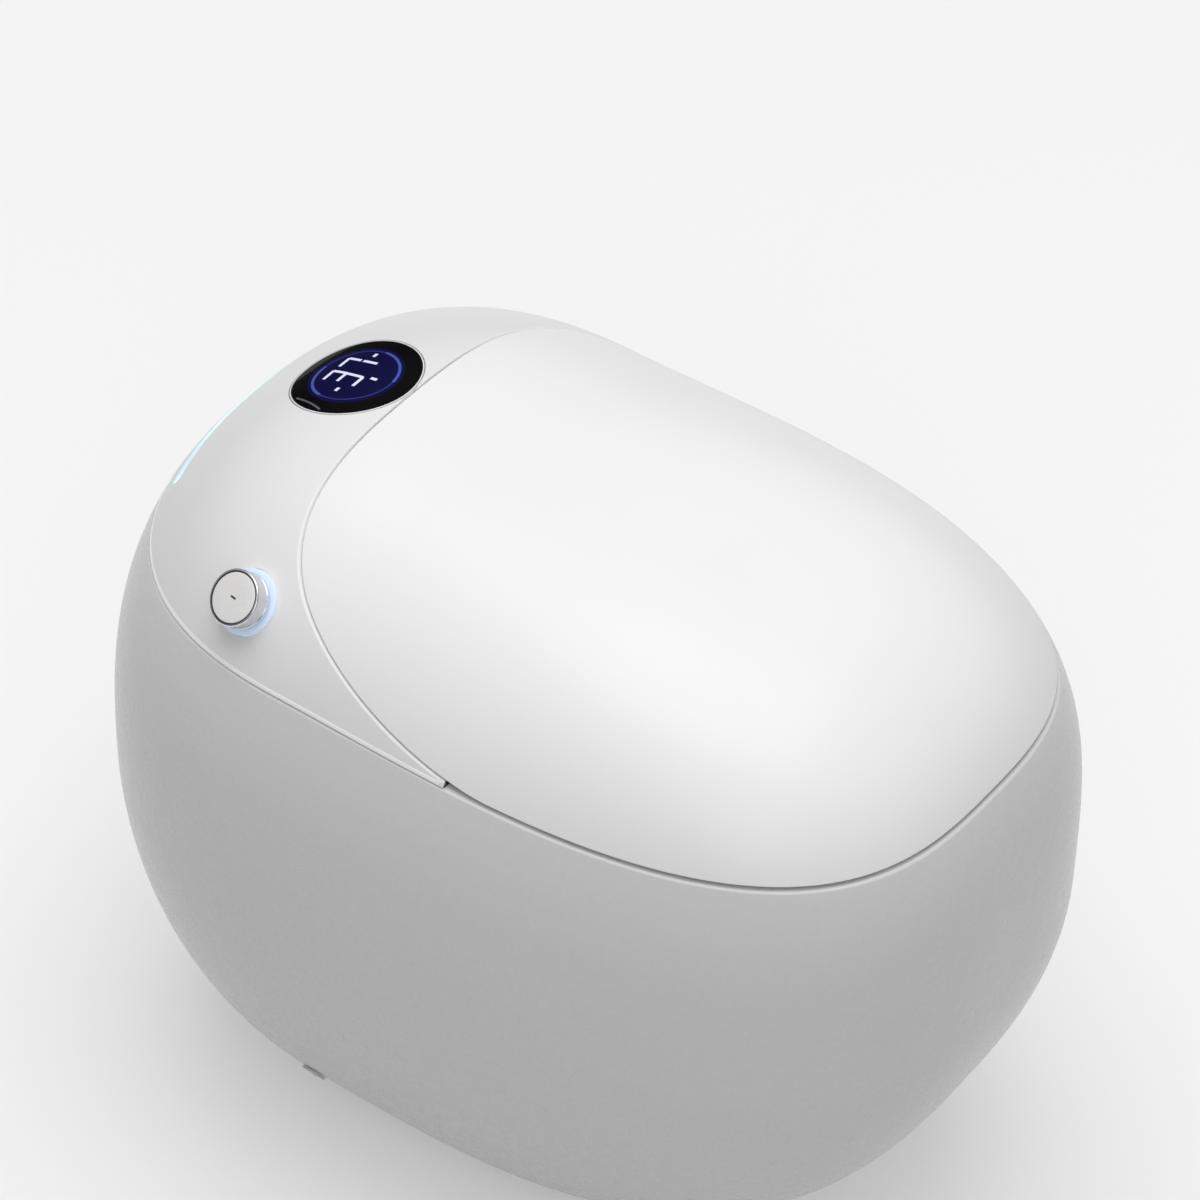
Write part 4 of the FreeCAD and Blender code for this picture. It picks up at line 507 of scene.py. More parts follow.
FINISH_NODES: dict[Finish, str] = {
    CERAMIC: "ceramic_body",
    GASKET_DARK: "floor_seal housing_gasket",
    STEEL: (
        "floor_brackets side_screws service_screws hinge_brackets hinge_pins wand_motors "
        "wash_wand bidet_wand knob_stem"
    ),
    TRIM_WHITE: (
        "screw_caps service_panel pump_impeller base_plate rear_fascia wash_wand_tip "
        "bidet_wand_tip dryer_flap"
    ),
    BRASS: "water_inlet",
    DARK_PLASTIC: (
        "power_gland flush_pump hinge_dampers dryer_blower deodoriser_housing knob_encoder "
        "diverter_valve air_pump"
    ),
    GREY_PLASTIC: (
        "inlet_valve flush_tank tank_lid wand_front_guide wand_rear_guide dryer_duct "
        "dryer_impeller deodoriser_duct deodoriser_impeller water_heater"
    ),
    HOSE: "supply_hose jet_hose",
    HOUSING_WHITE: "rear_housing",
    GLASS_BLACK: "display_lens",
    BEZEL: "display_bezel",
    NAVY: "display_module",
    ICE_GLOW: "rear_light",
    LID_WHITE: "lid_shell lid_liner",
    SOFT_RUBBER: "lid_bumpers seat_bumpers",
    SEAT_WHITE: "seat_top seat_base",
    HEATING_FILM: "seat_heater",
    CARBON: "carbon_filter",
    HALO_GLOW: "knob_halo",
    CHROME: "knob_body",
    KNOB_WHITE: "knob_cap",
    CIRCUIT: "main_board",
}
NODE_FINISHES = {node: finish for finish, nodes in FINISH_NODES.items() for node in nodes.split()}


# ---------------------------------------------------------------------------
# Meshes
# ---------------------------------------------------------------------------
MEAN_SIZE = 200.0  # the outline's size in millimetres, for its excess
ON_OUTLINE = 0.3  # millimetres
SAME_FACING = 0.98  # cosine of the largest turn between a face and the outline


class Solid:
    """A closed mesh in millimetres that becomes a piece of the scene."""

    def __init__(self, name: str, points: np.ndarray, faces: Iterable[Sequence[int]]) -> None:
        """Makes the mesh.

        Args:
            name: the piece's name.
            points: vertices in millimetres.
            faces: vertex numbers of each face, outward.
        """
        mesh = bpy.data.meshes.new(name)
        mesh.from_pydata((np.asarray(points) * MM).tolist(), [], [list(map(int, f)) for f in faces])
        mesh.validate()
        self.object = bpy.data.objects.new(name, mesh)
        bpy.context.scene.collection.objects.link(self.object)

    @classmethod
    def rings(cls, name: str, rings: Sequence[np.ndarray], closed: bool = False,
              start: np.ndarray | None = None, end: np.ndarray | None = None) -> "Solid":
        """A surface through closed rings of the same number of points.

        Args:
            name: the piece's name.
            rings: the rings, each an array of points.
            closed: whether the last ring joins the first.
            start: pole before the first ring, if the surface closes there.
            end: pole after the last ring, if the surface closes there.
        """
        count = len(rings[0])
        points = np.concatenate([np.asarray(r) for r in rings])
        faces = []
        rows = len(rings)
        for k in range(rows if closed else rows - 1):
            a, b = k * count, ((k + 1) % rows) * count
            for i in range(count):
                j = (i + 1) % count
                faces.append((a + i, a + j, b + j, b + i))
        extra = []
        if start is not None:
            tip = len(points) + len(extra)
            extra.append(start)
            faces += [(tip, (i + 1) % count, i) for i in range(count)]
        if end is not None:
            tip = len(points) + len(extra)
            extra.append(end)
            base = (rows - 1) * count
            faces += [(tip, base + i, base + (i + 1) % count) for i in range(count)]
        if extra:
            points = np.concatenate([points, np.array(extra)])
        return cls(name, points, faces)

    @classmethod
    def bar(cls, name: str, sections: np.ndarray) -> "Solid":
        """A closed bar through sections of the same number of points, with flat ends."""
        rows, count = sections.shape[:2]
        faces = []
        for i in range(rows - 1):
            for k in range(count):
                j = (k + 1) % count
                here, ahead = i * count, (i + 1) * count
                faces.append((here + k, here + j, ahead + j, ahead + k))
        last = (rows - 1) * count
        faces.append(tuple(range(count)))
        faces.append(tuple(last + k for k in range(count))[::-1])
        return cls(name, sections.reshape(-1, 3), faces).outward()

    @classmethod
    def prism(cls, name: str, outline: Sequence, direction: Sequence[float]) -> "Solid":
        """A flat outline pushed along a direction."""
        low = np.asarray(outline, dtype=float)
        high = low + np.asarray(direction, dtype=float)
        count = len(low)
        faces = [tuple(range(count))[::-1], tuple(range(count, 2 * count))]
        faces += [(i, (i + 1) % count, count + (i + 1) % count, count + i) for i in range(count)]
        return cls(name, np.concatenate([low, high]), faces)

    @classmethod
    def block(cls, name: str, low: Sequence[float], high: Sequence[float]) -> "Solid":
        """A box between two corners."""
        (a, b, c), (d, e, f) = low, high
        return cls.prism(name, [(a, b, c), (d, b, c), (d, e, c), (a, e, c)], (0, 0, f - c))

    @classmethod
    def turned(cls, name: str, profile: Sequence, base: Sequence[float], axis: Sequence[float],
               columns: int = 96) -> "Solid":
        """A closed profile of (radius, height) turned about an axis.

        Args:
            name: the piece's name.
            profile: points (radius, height) in order; a radius of 0 at both ends closes on the
                axis, otherwise the profile is a closed loop.
            base: a point on the axis where the height is 0.
            axis: the axis's direction.
            columns: number of steps round the axis.
        """
        out = Vector(axis).normalized()
        side = out.orthogonal().normalized()
        other = out.cross(side)
        turns = full_circle(columns)
        spin = np.outer(np.cos(turns), np.array(side)) + np.outer(np.sin(turns), np.array(other))
        profile = list(profile)
        on_axis = profile[0][0] == 0.0 and profile[-1][0] == 0.0
        base = np.asarray(base, dtype=float)
        start = end = None
        if on_axis:
            start = base + np.array(out) * profile[0][1]
            end = base + np.array(out) * profile[-1][1]
            profile = profile[1:-1]
        rings = [base + np.array(out) * h + spin * r for r, h in profile]
        solid = cls.rings(name, rings, closed=not on_axis, start=start, end=end)
        return solid.outward()

    @classmethod
    def tube(cls, name: str, route: np.ndarray, radius: float, columns: int = 40) -> "Solid":
        """A round bar along a route of points."""
        route = np.asarray(route, dtype=float)
        ahead = np.gradient(route, axis=0)
        ahead /= np.linalg.norm(ahead, axis=1, keepdims=True)
        side = np.array([1.0, 0.0, 0.0])
        rings = []
        turns = full_circle(columns)
        for point, along in zip(route, ahead):
            side = side - along * np.dot(side, along)
            side /= np.linalg.norm(side)
            other = np.cross(along, side)
            spin = np.outer(np.cos(turns), side) + np.outer(np.sin(turns), other)
            rings.append(point + radius * spin)
        return cls.rings(name, rings, start=route[0], end=route[-1]).outward()

    def outward(self) -> "Solid":
        """Turns the faces outwards."""
        work = bmesh.new()
        work.from_mesh(self.object.data)
        bmesh.ops.recalc_face_normals(work, faces=work.faces)
        if work.calc_volume(signed=True) < 0:
            bmesh.ops.reverse_faces(work, faces=work.faces)
        work.to_mesh(self.object.data)
        work.free()
        return self

    def combine(self, other: "Solid", operation: str) -> "Solid":
        """Adds, cuts or keeps the common part with another solid, which is used up."""
        change = self.object.modifiers.new("combine", "BOOLEAN")
        change.operation = operation
        change.solver = "MANIFOLD"
        change.object = other.object
        self.apply()
        bpy.data.objects.remove(other.object)
        return self

    def cut(self, *others: "Solid") -> "Solid":
        """Cuts other solids away."""
        for other in others:
            self.combine(other, "DIFFERENCE")
        return self

    def bevel(self, width: float, segments: int = 3, angle: float = 40.0) -> "Solid":
        """Rounds the sharp edges."""
        change = self.object.modifiers.new("round", "BEVEL")
        change.width = width * MM
        change.segments = segments
        change.limit_method = "ANGLE"
        change.angle_limit = math.radians(angle)
        change.harden_normals = False
        self.apply()
        return self

    def apply(self) -> None:
        """Replaces the mesh by its modified form."""
        graph = bpy.context.evaluated_depsgraph_get()
        graph.update()
        made = bpy.data.meshes.new_from_object(self.object.evaluated_get(graph), depsgraph=graph)
        old = self.object.data
        self.object.modifiers.clear()
        self.object.data = made
        made.name = old.name
        bpy.data.meshes.remove(old)

    def smooth(self, angle: float = 35.0, on_outline: float | None = None) -> "Solid":
        """Smooth shading with sharp edges kept.

        Args:
            angle: edges sharper than this stay sharp.
            on_outline: if given, faces that lie on the outline get its exact normals, and this is
                added to the distance that still counts as on it.
        """
        mesh = self.object.data
        mesh.shade_smooth()
        mesh.set_sharp_from_angle(angle=math.radians(angle))
        if on_outline is None:
            return self
        count = len(mesh.vertices)
        points = np.empty(count * 3)
        mesh.vertices.foreach_get("co", points)
        points = points.reshape(-1, 3) / MM
        exact = OUTLINE.normals(points)
        near = np.abs(OUTLINE.excess(points)) * MEAN_SIZE < ON_OUTLINE + on_outline
        faces = len(mesh.polygons)
        facing = np.empty(faces * 3)
        mesh.polygons.foreach_get("normal", facing)
        facing = facing.reshape(-1, 3)
        loops = len(mesh.loops)
        at = np.empty(loops, dtype=np.int32)
        mesh.loops.foreach_get("vertex_index", at)
        totals = np.empty(faces, dtype=np.int32)
        mesh.polygons.foreach_get("loop_total", totals)
        owner = np.repeat(np.arange(faces), totals)
        use = near[at] & (np.einsum("ij,ij->i", facing[owner], exact[at]) > SAME_FACING)
        normals = np.where(use[:, None], exact[at], 0.0)
        mesh.normals_split_custom_set(normals.tolist())
        return self


class Piece:
    """Gives a solid its finish and body."""

    made: list[str] = []

    def __init__(self, solid: Solid, finish: Finish, body: str, slot: str,
                 replaces: Sequence[str] = ()) -> None:
        """Dresses the solid and ties it to the frame.

        Args:
            solid: the mesh.
            finish: its material.
            body: the frame's body that it rides on.
            slot: the record's material slot; not used.
            replaces: CAD nodes that it stands for.
        """
        self.object = solid.object
        self.object.data.materials.clear()
        self.object.data.materials.append(finish.material())
        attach(self.object, body)
        if replaces:
            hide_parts(*replaces)
        Piece.made.append(self.object.name)
        log.info("%s: %d faces, %s on %s", self.object.name, len(self.object.data.polygons),
                 finish.name, body)


# ---------------------------------------------------------------------------
# Shared shapes
# ---------------------------------------------------------------------------
def first_outside(
    inside: Callable[[np.ndarray, np.ndarray], np.ndarray],
    centre: tuple[float, float],
    turns: np.ndarray,
    far: float = 500.0,
) -> np.ndarray:
    """Distance along rays from a centre to where a plan function changes from positive.

    Args:
        inside: positive inside, negative outside.
        centre: the rays' start.
        turns: the rays' directions.
        far: a distance that is outside for every ray.

    Returns:
        One distance for each ray.
    """
    low = np.zeros_like(turns)
    high = np.full_like(turns, far)
    for _ in range(60):
        middle = (low + high) / 2
        x = centre[0] + middle * np.cos(turns)
        y = centre[1] + middle * np.sin(turns)
        good = inside(x, y) > 0
        low = np.where(good, middle, low)
        high = np.where(good, high, middle)
    return (low + high) / 2


def round_edge(radius: float, thickness: float, steps: int = 6) -> list[tuple[float, float]]:
    """(inset, margin) pairs round a skin's edge from its outer to its inner face."""
    pairs = []
    for k in range(steps + 1):
        turn = QUARTER_TURN * k / steps
        pairs.append((radius * (1 - math.cos(turn)), radius * (1 - math.sin(turn))))
    small = min(0.5, (thickness - radius) / 2)
    pairs.append((thickness - small, 0.0))
    pairs.append((thickness - small * 0.3, small * 0.3))
    pairs.append((thickness, small))
    return pairs


class LidSkin:
    """A domed sheet that follows the outline over the bowl, with a rolled edge."""

    centre = (0.0, -85.0)
    columns = 420
    rows = 84

    def __init__(
        self, outer: float, thickness: float, margin: float, bottom: float, roll: float
    ) -> None:
        """Stores the sheet's sizes.

        Args:
            outer: inset of its outer face.
            thickness: sheet thickness.
            margin: distance kept from the seam.
            bottom: height of its lower edge.
            roll: radius of the edge.
        """
        self.outer = outer
        self.thickness = thickness
        self.margin = margin
        self.bottom = bottom
        self.roll = roll
        self.turns = full_circle(self.columns) + QUARTER_TURN

    def edge(self, inset: float, margin: float) -> np.ndarray:
        """Plan distance from the centre to the sheet's edge at an inset and a margin."""

        def inside(x: np.ndarray, y: np.ndarray) -> np.ndarray:
            """Positive where the sheet is over the bottom and in front of the seam."""
            floor = np.maximum(self.bottom + margin, SPLIT.seam_z(y, -(self.margin + margin)))
            beyond = y >= SPLIT.seam_back_y - self.margin - margin
            return np.where(beyond, -1.0, OUTLINE.height(x, y, inset) - floor)

        return first_outside(inside, self.centre, self.turns)

    def ring(self, reach: np.ndarray, inset: float) -> np.ndarray:
        """Points on the sheet at plan distances from the centre."""
        x = self.centre[0] + reach * np.cos(self.turns)
        y = self.centre[1] + reach * np.sin(self.turns)
        return np.stack([x, y, OUTLINE.height(x, y, inset)], axis=-1)

    def solid(self, name: str) -> Solid:
        """The sheet as a closed solid."""
        inner = self.outer + self.thickness
        shares = 1.0 - (1.0 - np.arange(1, self.rows + 1) / self.rows) ** 1.6
        top_edge = self.edge(self.outer, self.roll)
        rings = [self.ring(top_edge * share, self.outer) for share in shares]
        for inset, margin in round_edge(self.roll, self.thickness)[1:]:
            depth = self.outer + inset
            rings.append(self.ring(self.edge(depth, margin), depth))
        bottom_edge = self.edge(inner, round_edge(self.roll, self.thickness)[-1][1])
        for share in shares[::-1][1:]:
            rings.append(self.ring(bottom_edge * share, inner))
        x, y = self.centre
        start = np.array([x, y, float(OUTLINE.height(x, y, self.outer))])
        end = np.array([x, y, float(OUTLINE.height(x, y, inner))])
        return Solid.rings(name, rings, start=start, end=end).outward()


class HousingSkin:
    """The crescent of the outline behind the lid, with wings along the rim."""

    centre = (0.0, 20.0)
    columns = 520
    rows = 44
    wall = 3.0
    roll = 0.9
    roll_steps = 4
    edge_insets = (2.4, 1.6)

    def __init__(self) -> None:
        """Finds the rays that end at the wings' tips."""
        self.bottom = SPLIT.rim_z + SPLIT.gasket

        def at(turn: float) -> np.ndarray:
            """The point of the bottom edge in a direction."""
            return OUTLINE.ring(np.array([turn]), self.bottom)[0]

        self.tip_turn = turning_point(-QUARTER_TURN, 0.0, lambda turn: at(turn)[1] < SPLIT.tip_y)
        tip = at(self.tip_turn)
        first = math.atan2(tip[1] - self.centre[1], tip[0])
        self.turns = np.linspace(first, math.pi - first, self.columns)

    def lower(self, inset: float, margin: float) -> np.ndarray:
        """Distance to the bottom edge along each ray."""
        level = self.bottom + margin

        def inside(x: np.ndarray, y: np.ndarray) -> np.ndarray:
            """Positive where the skin is over the bottom edge."""
            return OUTLINE.height(x, y, inset) - level

        return first_outside(inside, self.centre, self.turns)

    def upper(self, inset: float, margin: float) -> np.ndarray:
        """Distance to the seam along each ray."""
        gap = SPLIT.seam_gap + margin

        def inside(x: np.ndarray, y: np.ndarray) -> np.ndarray:
            """Positive where the skin is over the seam."""
            beyond = y >= SPLIT.seam_back_y + gap
            return np.where(beyond, -1.0, OUTLINE.height(x, y, inset) - SPLIT.seam_z(y, gap))

        return first_outside(inside, self.centre, self.turns)

    def points(self, reach: np.ndarray, inset: float) -> np.ndarray:
        """Points on the skin at plan distances from the centre."""
        x = self.centre[0] + reach * np.cos(self.turns)
        y = self.centre[1] + reach * np.sin(self.turns)
        return np.stack([x, y, OUTLINE.height(x, y, inset)], axis=-1)

    def solid(self, name: str) -> Solid:
        """The skin as a closed solid."""
        shares = 1.0 - (1.0 - np.linspace(0.0, 1.0, self.rows)) ** 1.7
        turns = np.linspace(0, QUARTER_TURN, self.roll_steps)[:-1]
        seam_edge = [(self.roll * (1 - math.sin(t)), self.roll * (1 - math.cos(t))) for t in turns]
        outer_low = self.lower(0.0, 0.0)
        outer_up = np.minimum(self.upper(0.0, self.roll), outer_low - 0.2)
        inner_low = self.lower(self.wall, 0.0)
        inner_up = np.minimum(self.upper(self.wall, 0.0), inner_low - 0.4)
        loop = [self.edge_point(inset, margin) for inset, margin in seam_edge]
        for share in shares:
            loop.append(self.points(outer_up + (outer_low - outer_up) * share, 0.0))
        for share in shares[::-1]:
            loop.append(self.points(inner_up + (inner_low - inner_up) * share, self.wall))
        loop += [self.edge_point(inset, 0.0) for inset in self.edge_insets]
        return Solid.bar(name, np.stack(loop, axis=1))

    def edge_point(self, inset: float, margin: float) -> np.ndarray:
        """Points along the seam edge, kept inside the bottom edge at the wings' tips."""
        reach = np.minimum(self.upper(inset, margin), self.lower(inset, 0.0) - 0.3)
        return self.points(reach, inset)


# ---------------------------------------------------------------------------
# The parts of the object
# ---------------------------------------------------------------------------
class CeramicBody:
    """Skirt, rim, bowl, trapway and deck in one glazed piece."""

    columns = 336
    wall = 12.0
    rim_round = 3.0
    lip = 7.0
    deck_z = 385.0
    foot_wall = 30.0
    trap_r = 26.0
    sump_y = -56.0
    sump_z = 76.0
    bolt_hole = ((0, 0), (4, 0), (4, 230), (0, 230))
    bolt_place = (0, 100, 46)

    def __init__(self) -> None:
        """Sets the directions of the columns."""
        self.turns = full_circle(self.columns)

    def outer_rings(self) -> list[np.ndarray]:
        """Rings from the floor up the skirt to the top of the rim's rounding."""
        rings = []
        top = SPLIT.rim_z
        levels = np.concatenate([[0.0, 0.5, 1.5, 3.0], np.linspace(6.0, top - 3.2, 84)])
        for z in levels:
            shrink = max(0.0, 1.5 - z) ** 2 / 1.5
            ring = OUTLINE.ring(self.turns, z, 0.0)
            ring[:, :2] -= shrink * OUTLINE.normals(ring)[:, :2]
            rings.append(ring)
        corner = OUTLINE.ring(self.turns, top)
        below = OUTLINE.ring(self.turns, top - 0.5)
        out = corner[:, :2] - np.array([0.0, OUTLINE.shoulder_y])
        out /= np.linalg.norm(out, axis=1, keepdims=True)
        lean = np.linalg.norm(below[:, :2] - corner[:, :2], axis=1) / 0.5
        slope = np.arctan2(1.0, lean)
        tangent = self.rim_round / np.tan((math.pi - slope) / 2)
        middle = corner.copy()
        middle[:, :2] -= out * tangent[:, None]
        middle[:, 2] -= self.rim_round
        for share in np.linspace(0.0, 1.0, 9):
            turn = (QUARTER_TURN - slope) + slope * share
            ring = middle.copy()
            ring[:, :2] += out * (self.rim_round * np.cos(turn))[:, None]
            ring[:, 2] += self.rim_round * np.sin(turn)
            rings.append(ring)
        return rings

    def bowl_rings(self, rim: np.ndarray) -> list[np.ndarray]:
        """Rings across the rim and down the bowl."""
        centre = BOWL.section(SPLIT.rim_z)[0]
        aim = np.arctan2(rim[:, 1] - centre, rim[:, 0])
        first = BOWL.ring(aim, SPLIT.rim_z, self.lip)
        rings = [rim + (first - rim) * share for share in (0.15, 0.5, 0.85)]
        for turn in np.linspace(0.0, QUARTER_TURN, 7):
            level = SPLIT.rim_z - self.lip * (1 - math.cos(turn))
            rings.append(BOWL.ring(aim, level, self.lip * (1 - math.sin(turn))))
        upper = np.linspace(392.0, 150.0, 46)
        for z in np.concatenate([upper, np.linspace(144.0, self.sump_z, 14)]):
            rings.append(BOWL.ring(aim, z))
        for turn in np.linspace(0.2, QUARTER_TURN, 5):
            shrink = self.wall * (1 - math.cos(turn))
            level = self.sump_z - self.wall * math.sin(turn)
            rings.append(BOWL.ring(aim, self.sump_z, -shrink, level))
        return rings

    def inner_rings(self, rim: np.ndarray) -> list[np.ndarray]:
        """Rings up the inside of the skirt, under the deck and down the bowl's outside."""
        rings = []
        for z in (0.0, 7.0, 14.0):
            rings.append(OUTLINE.ring(self.turns, z, self.foot_wall))
        for z in np.linspace(14.0, self.deck_z, 40):
            rings.append(OUTLINE.ring(self.turns, z, self.wall))
        centre = BOWL.section(SPLIT.rim_z)[0]
        aim = np.arctan2(rim[:, 1] - centre, rim[:, 0])
        for z in np.linspace(self.deck_z, 64.0, 34):
            rings.append(BOWL.ring(aim, z, self.wall))
        return rings

    def trap_route(self) -> np.ndarray:
        """Middle line of the trapway from the sump over the weir to the floor."""
        corners = [(self.sump_y, 80.0), (0.0, 80.0), (40.0, 188.0), (112.0, 188.0), (112.0, 98.0)]
        corners += [(58.0, 44.0), (58.0, -4.0)]
        return rounded_route([(0.0, y, z) for y, z in corners], 40.0)

    def solid(self) -> Solid:
        """The whole ceramic as one solid."""
        outer = self.outer_rings()
        rim = outer[-1]
        bowl = self.bowl_rings(rim)
        inner = self.inner_rings(rim)
        start = np.array([0.0, self.sump_y, 51.0])
        end = np.array([0.0, self.sump_y, 64.0])
        rings = inner[::-1] + outer + bowl
        body = Solid.rings("ceramic_bowl_body", rings, start=start, end=end).outward()
        body.combine(self.rear_frame(), "UNION")
        waste = Solid.tube("waste", self.trap_route(), self.trap_r + self.wall, 48)
        waste.cut(Solid.block("cutter", (-60, 0, -20), (60, 110, 10)))
        body.combine(waste, "UNION")
        body.cut(Solid.tube("cutter", self.trap_route(), self.trap_r, 48))
        back = OUTLINE.shoulder_y + OUTLINE.rear_reach
        body.cut(
            Solid.block("cutter", (-68, 12, 370), (68, 80, 410)),
            self.deck_opening(),
            Solid.block("cutter", (-92, 278, 148), (92, back + 5, 332)),
            Solid.block("cutter", (-80, 255, 160), (80, back + 5, 320)),
            Solid.turned("cutter", self.bolt_hole, self.bolt_place, (1, 0, 0), 32),
            Solid.turned("cutter", self.bolt_hole, self.bolt_place, (-1, 0, 0), 32),
        )
        return body.smooth(35.0, on_outline=0.1)

    def rear_frame(self) -> Solid:
        """Thicker ceramic around the service opening."""
        frame = Solid.block("frame", (-106, 264, 134), (106, 308, 346))
        turns = full_circle(200)
        rings = [OUTLINE.ring(turns, z, 6.0) for z in np.linspace(20.0, 400.0, 60)]
        foot, head = (np.array([0, OUTLINE.shoulder_y, z]) for z in (20.0, 400.0))
        hull = Solid.rings("hull", rings, start=foot, end=head)
        return frame.combine(hull.outward(), "INTERSECT")

    def deck_opening(self) -> Solid:
        """Opening through the rear deck."""
        turns = np.linspace(-0.3, math.pi + 0.3, 120)
        ring = OUTLINE.ring(turns, SPLIT.rim_z - 9.0, 28.0)
        half, front = 125.0, 60.0
        ring = ring[(ring[:, 1] > front)]
        ring[:, 0] = np.clip(ring[:, 0], -half, half)
        corners = [(half, front, 0.0), *ring.tolist(), (-half, front, 0.0)]
        low = [(x, y, self.deck_z - 1.0) for x, y, _ in corners]
        return Solid.prism("cutter", low, (0, 0, 26.0)).outward()


def smooth_line(points: Sequence, steps: int) -> np.ndarray:
    """A smooth line through a few points, with a number of steps between each two."""
    points = np.asarray(points, dtype=float)
    slopes = np.gradient(points, axis=0)
    line = []
    for k in range(len(points) - 1):
        for share in np.arange(steps) / steps:
            line.append(hermite(share, points[k:k + 2], slopes[k:k + 2]))
    line.append(points[-1])
    return np.array(line)


def knuckle(name: str, sign: int, span: Sequence[float], outline: Sequence) -> Solid:
    """A plate at the hinge with a hole for the pin.

    Args:
        name: the piece's name, before the letter of its side.
        sign: -1 for the side of letter a, 1 for the side of letter b.
        span: nearest and farthest place from the middle plane.
        outline: its points (along, up).

    Returns:
        The plate.
    """
    low, high = sorted(sign * v for v in span)
    wide, r = high - low, HINGE.pin_hole_r
    points = [(low, along, up) for along, up in outline]
    plate = Solid.prism(f"{name}_{'a' if sign < 0 else 'b'}", points, (wide, 0, 0)).outward()
    hole = [(0, -1), (r, -1), (r, wide + 1), (0, wide + 1)]
    return plate.cut(Solid.turned("cutter", hole, (low, HINGE.y, HINGE.z), (1, 0, 0), 48))


def rounded_route(corners: Sequence, bend: float, step: float = 6.0) -> np.ndarray:
    """A line through corners with round bends, as close points."""
    points = [np.asarray(c, dtype=float) for c in corners]
    route = [points[0]]
    for before, corner, after in zip(points, points[1:], points[2:]):
        a = before - corner
        b = after - corner
        la, lb = np.linalg.norm(a), np.linalg.norm(b)
        a, b = a / la, b / lb
        angle = math.acos(float(np.clip(np.dot(a, b), -1, 1)))
        trim = min(bend / math.tan(angle / 2), la / 2, lb / 2)
        radius = trim * math.tan(angle / 2)
        middle = corner + (a + b) / np.linalg.norm(a + b) * (radius / math.sin(angle / 2))
        first = corner + a * trim - middle
        last = corner + b * trim - middle
        sweep = math.pi - angle
        count = max(3, int(radius * sweep / step))
        for k in range(count + 1):
            s = k / count
            mix = (math.sin((1 - s) * sweep) * first + math.sin(s * sweep) * last) / math.sin(sweep)
            route.append(middle + mix)
    route.append(points[-1])
    full = [route[0]]
    for point in route[1:]:
        gap = np.linalg.norm(point - full[-1])
        if gap < 1e-6:
            continue
        count = max(1, int(gap / (step * 2)))
        start = full[-1]
        full += [start + (point - start) * (k + 1) / count for k in range(count)]
    return np.array(full)


class Lid:
    """Domed lid: outer shell, liner and hinge lugs."""

    def build(self) -> None:
        """Makes the lid's pieces."""
        bottom = SPLIT.rim_z + SPLIT.lid_lift
        shell = LidSkin(outer=0.0, thickness=3.0, margin=0.0, bottom=bottom, roll=1.4)
        outer = shell.solid("lid_outer_shell").smooth(40.0, on_outline=0.05)
        Piece(outer, LID_WHITE, "lid", "white_plastic", ["lid_shell"])
        liner = LidSkin(outer=3.4, thickness=2.0, margin=2.0, bottom=bottom + 1.0, roll=0.7)
        inner = liner.solid("lid_inner_shell").smooth(40.0)
        Piece(inner, LID_WHITE, "lid", "white_plastic", ["lid_liner"])
        for sign in (-1, 1):
            Piece(self.lug(sign), LID_WHITE, "lid", "white_plastic")

    def lug(self, sign: int) -> Solid:
        """One of the lugs that take the hinge pins."""
        y, z = HINGE.y, HINGE.z
        outline = [(y - 6, z - 6.7), (y - 46, z + 12), (y - 46, z + 14.2), (y - 20, z + 14.6)]
        outline += [(y + 4, z + 14.0), (y + 7.0, z + 5.7), *HINGE.barrel(0.55, -2.2, 14)]
        return knuckle("lid_lug", sign, HINGE.lid_lug, outline).bevel(0.6, 2).smooth(35.0)


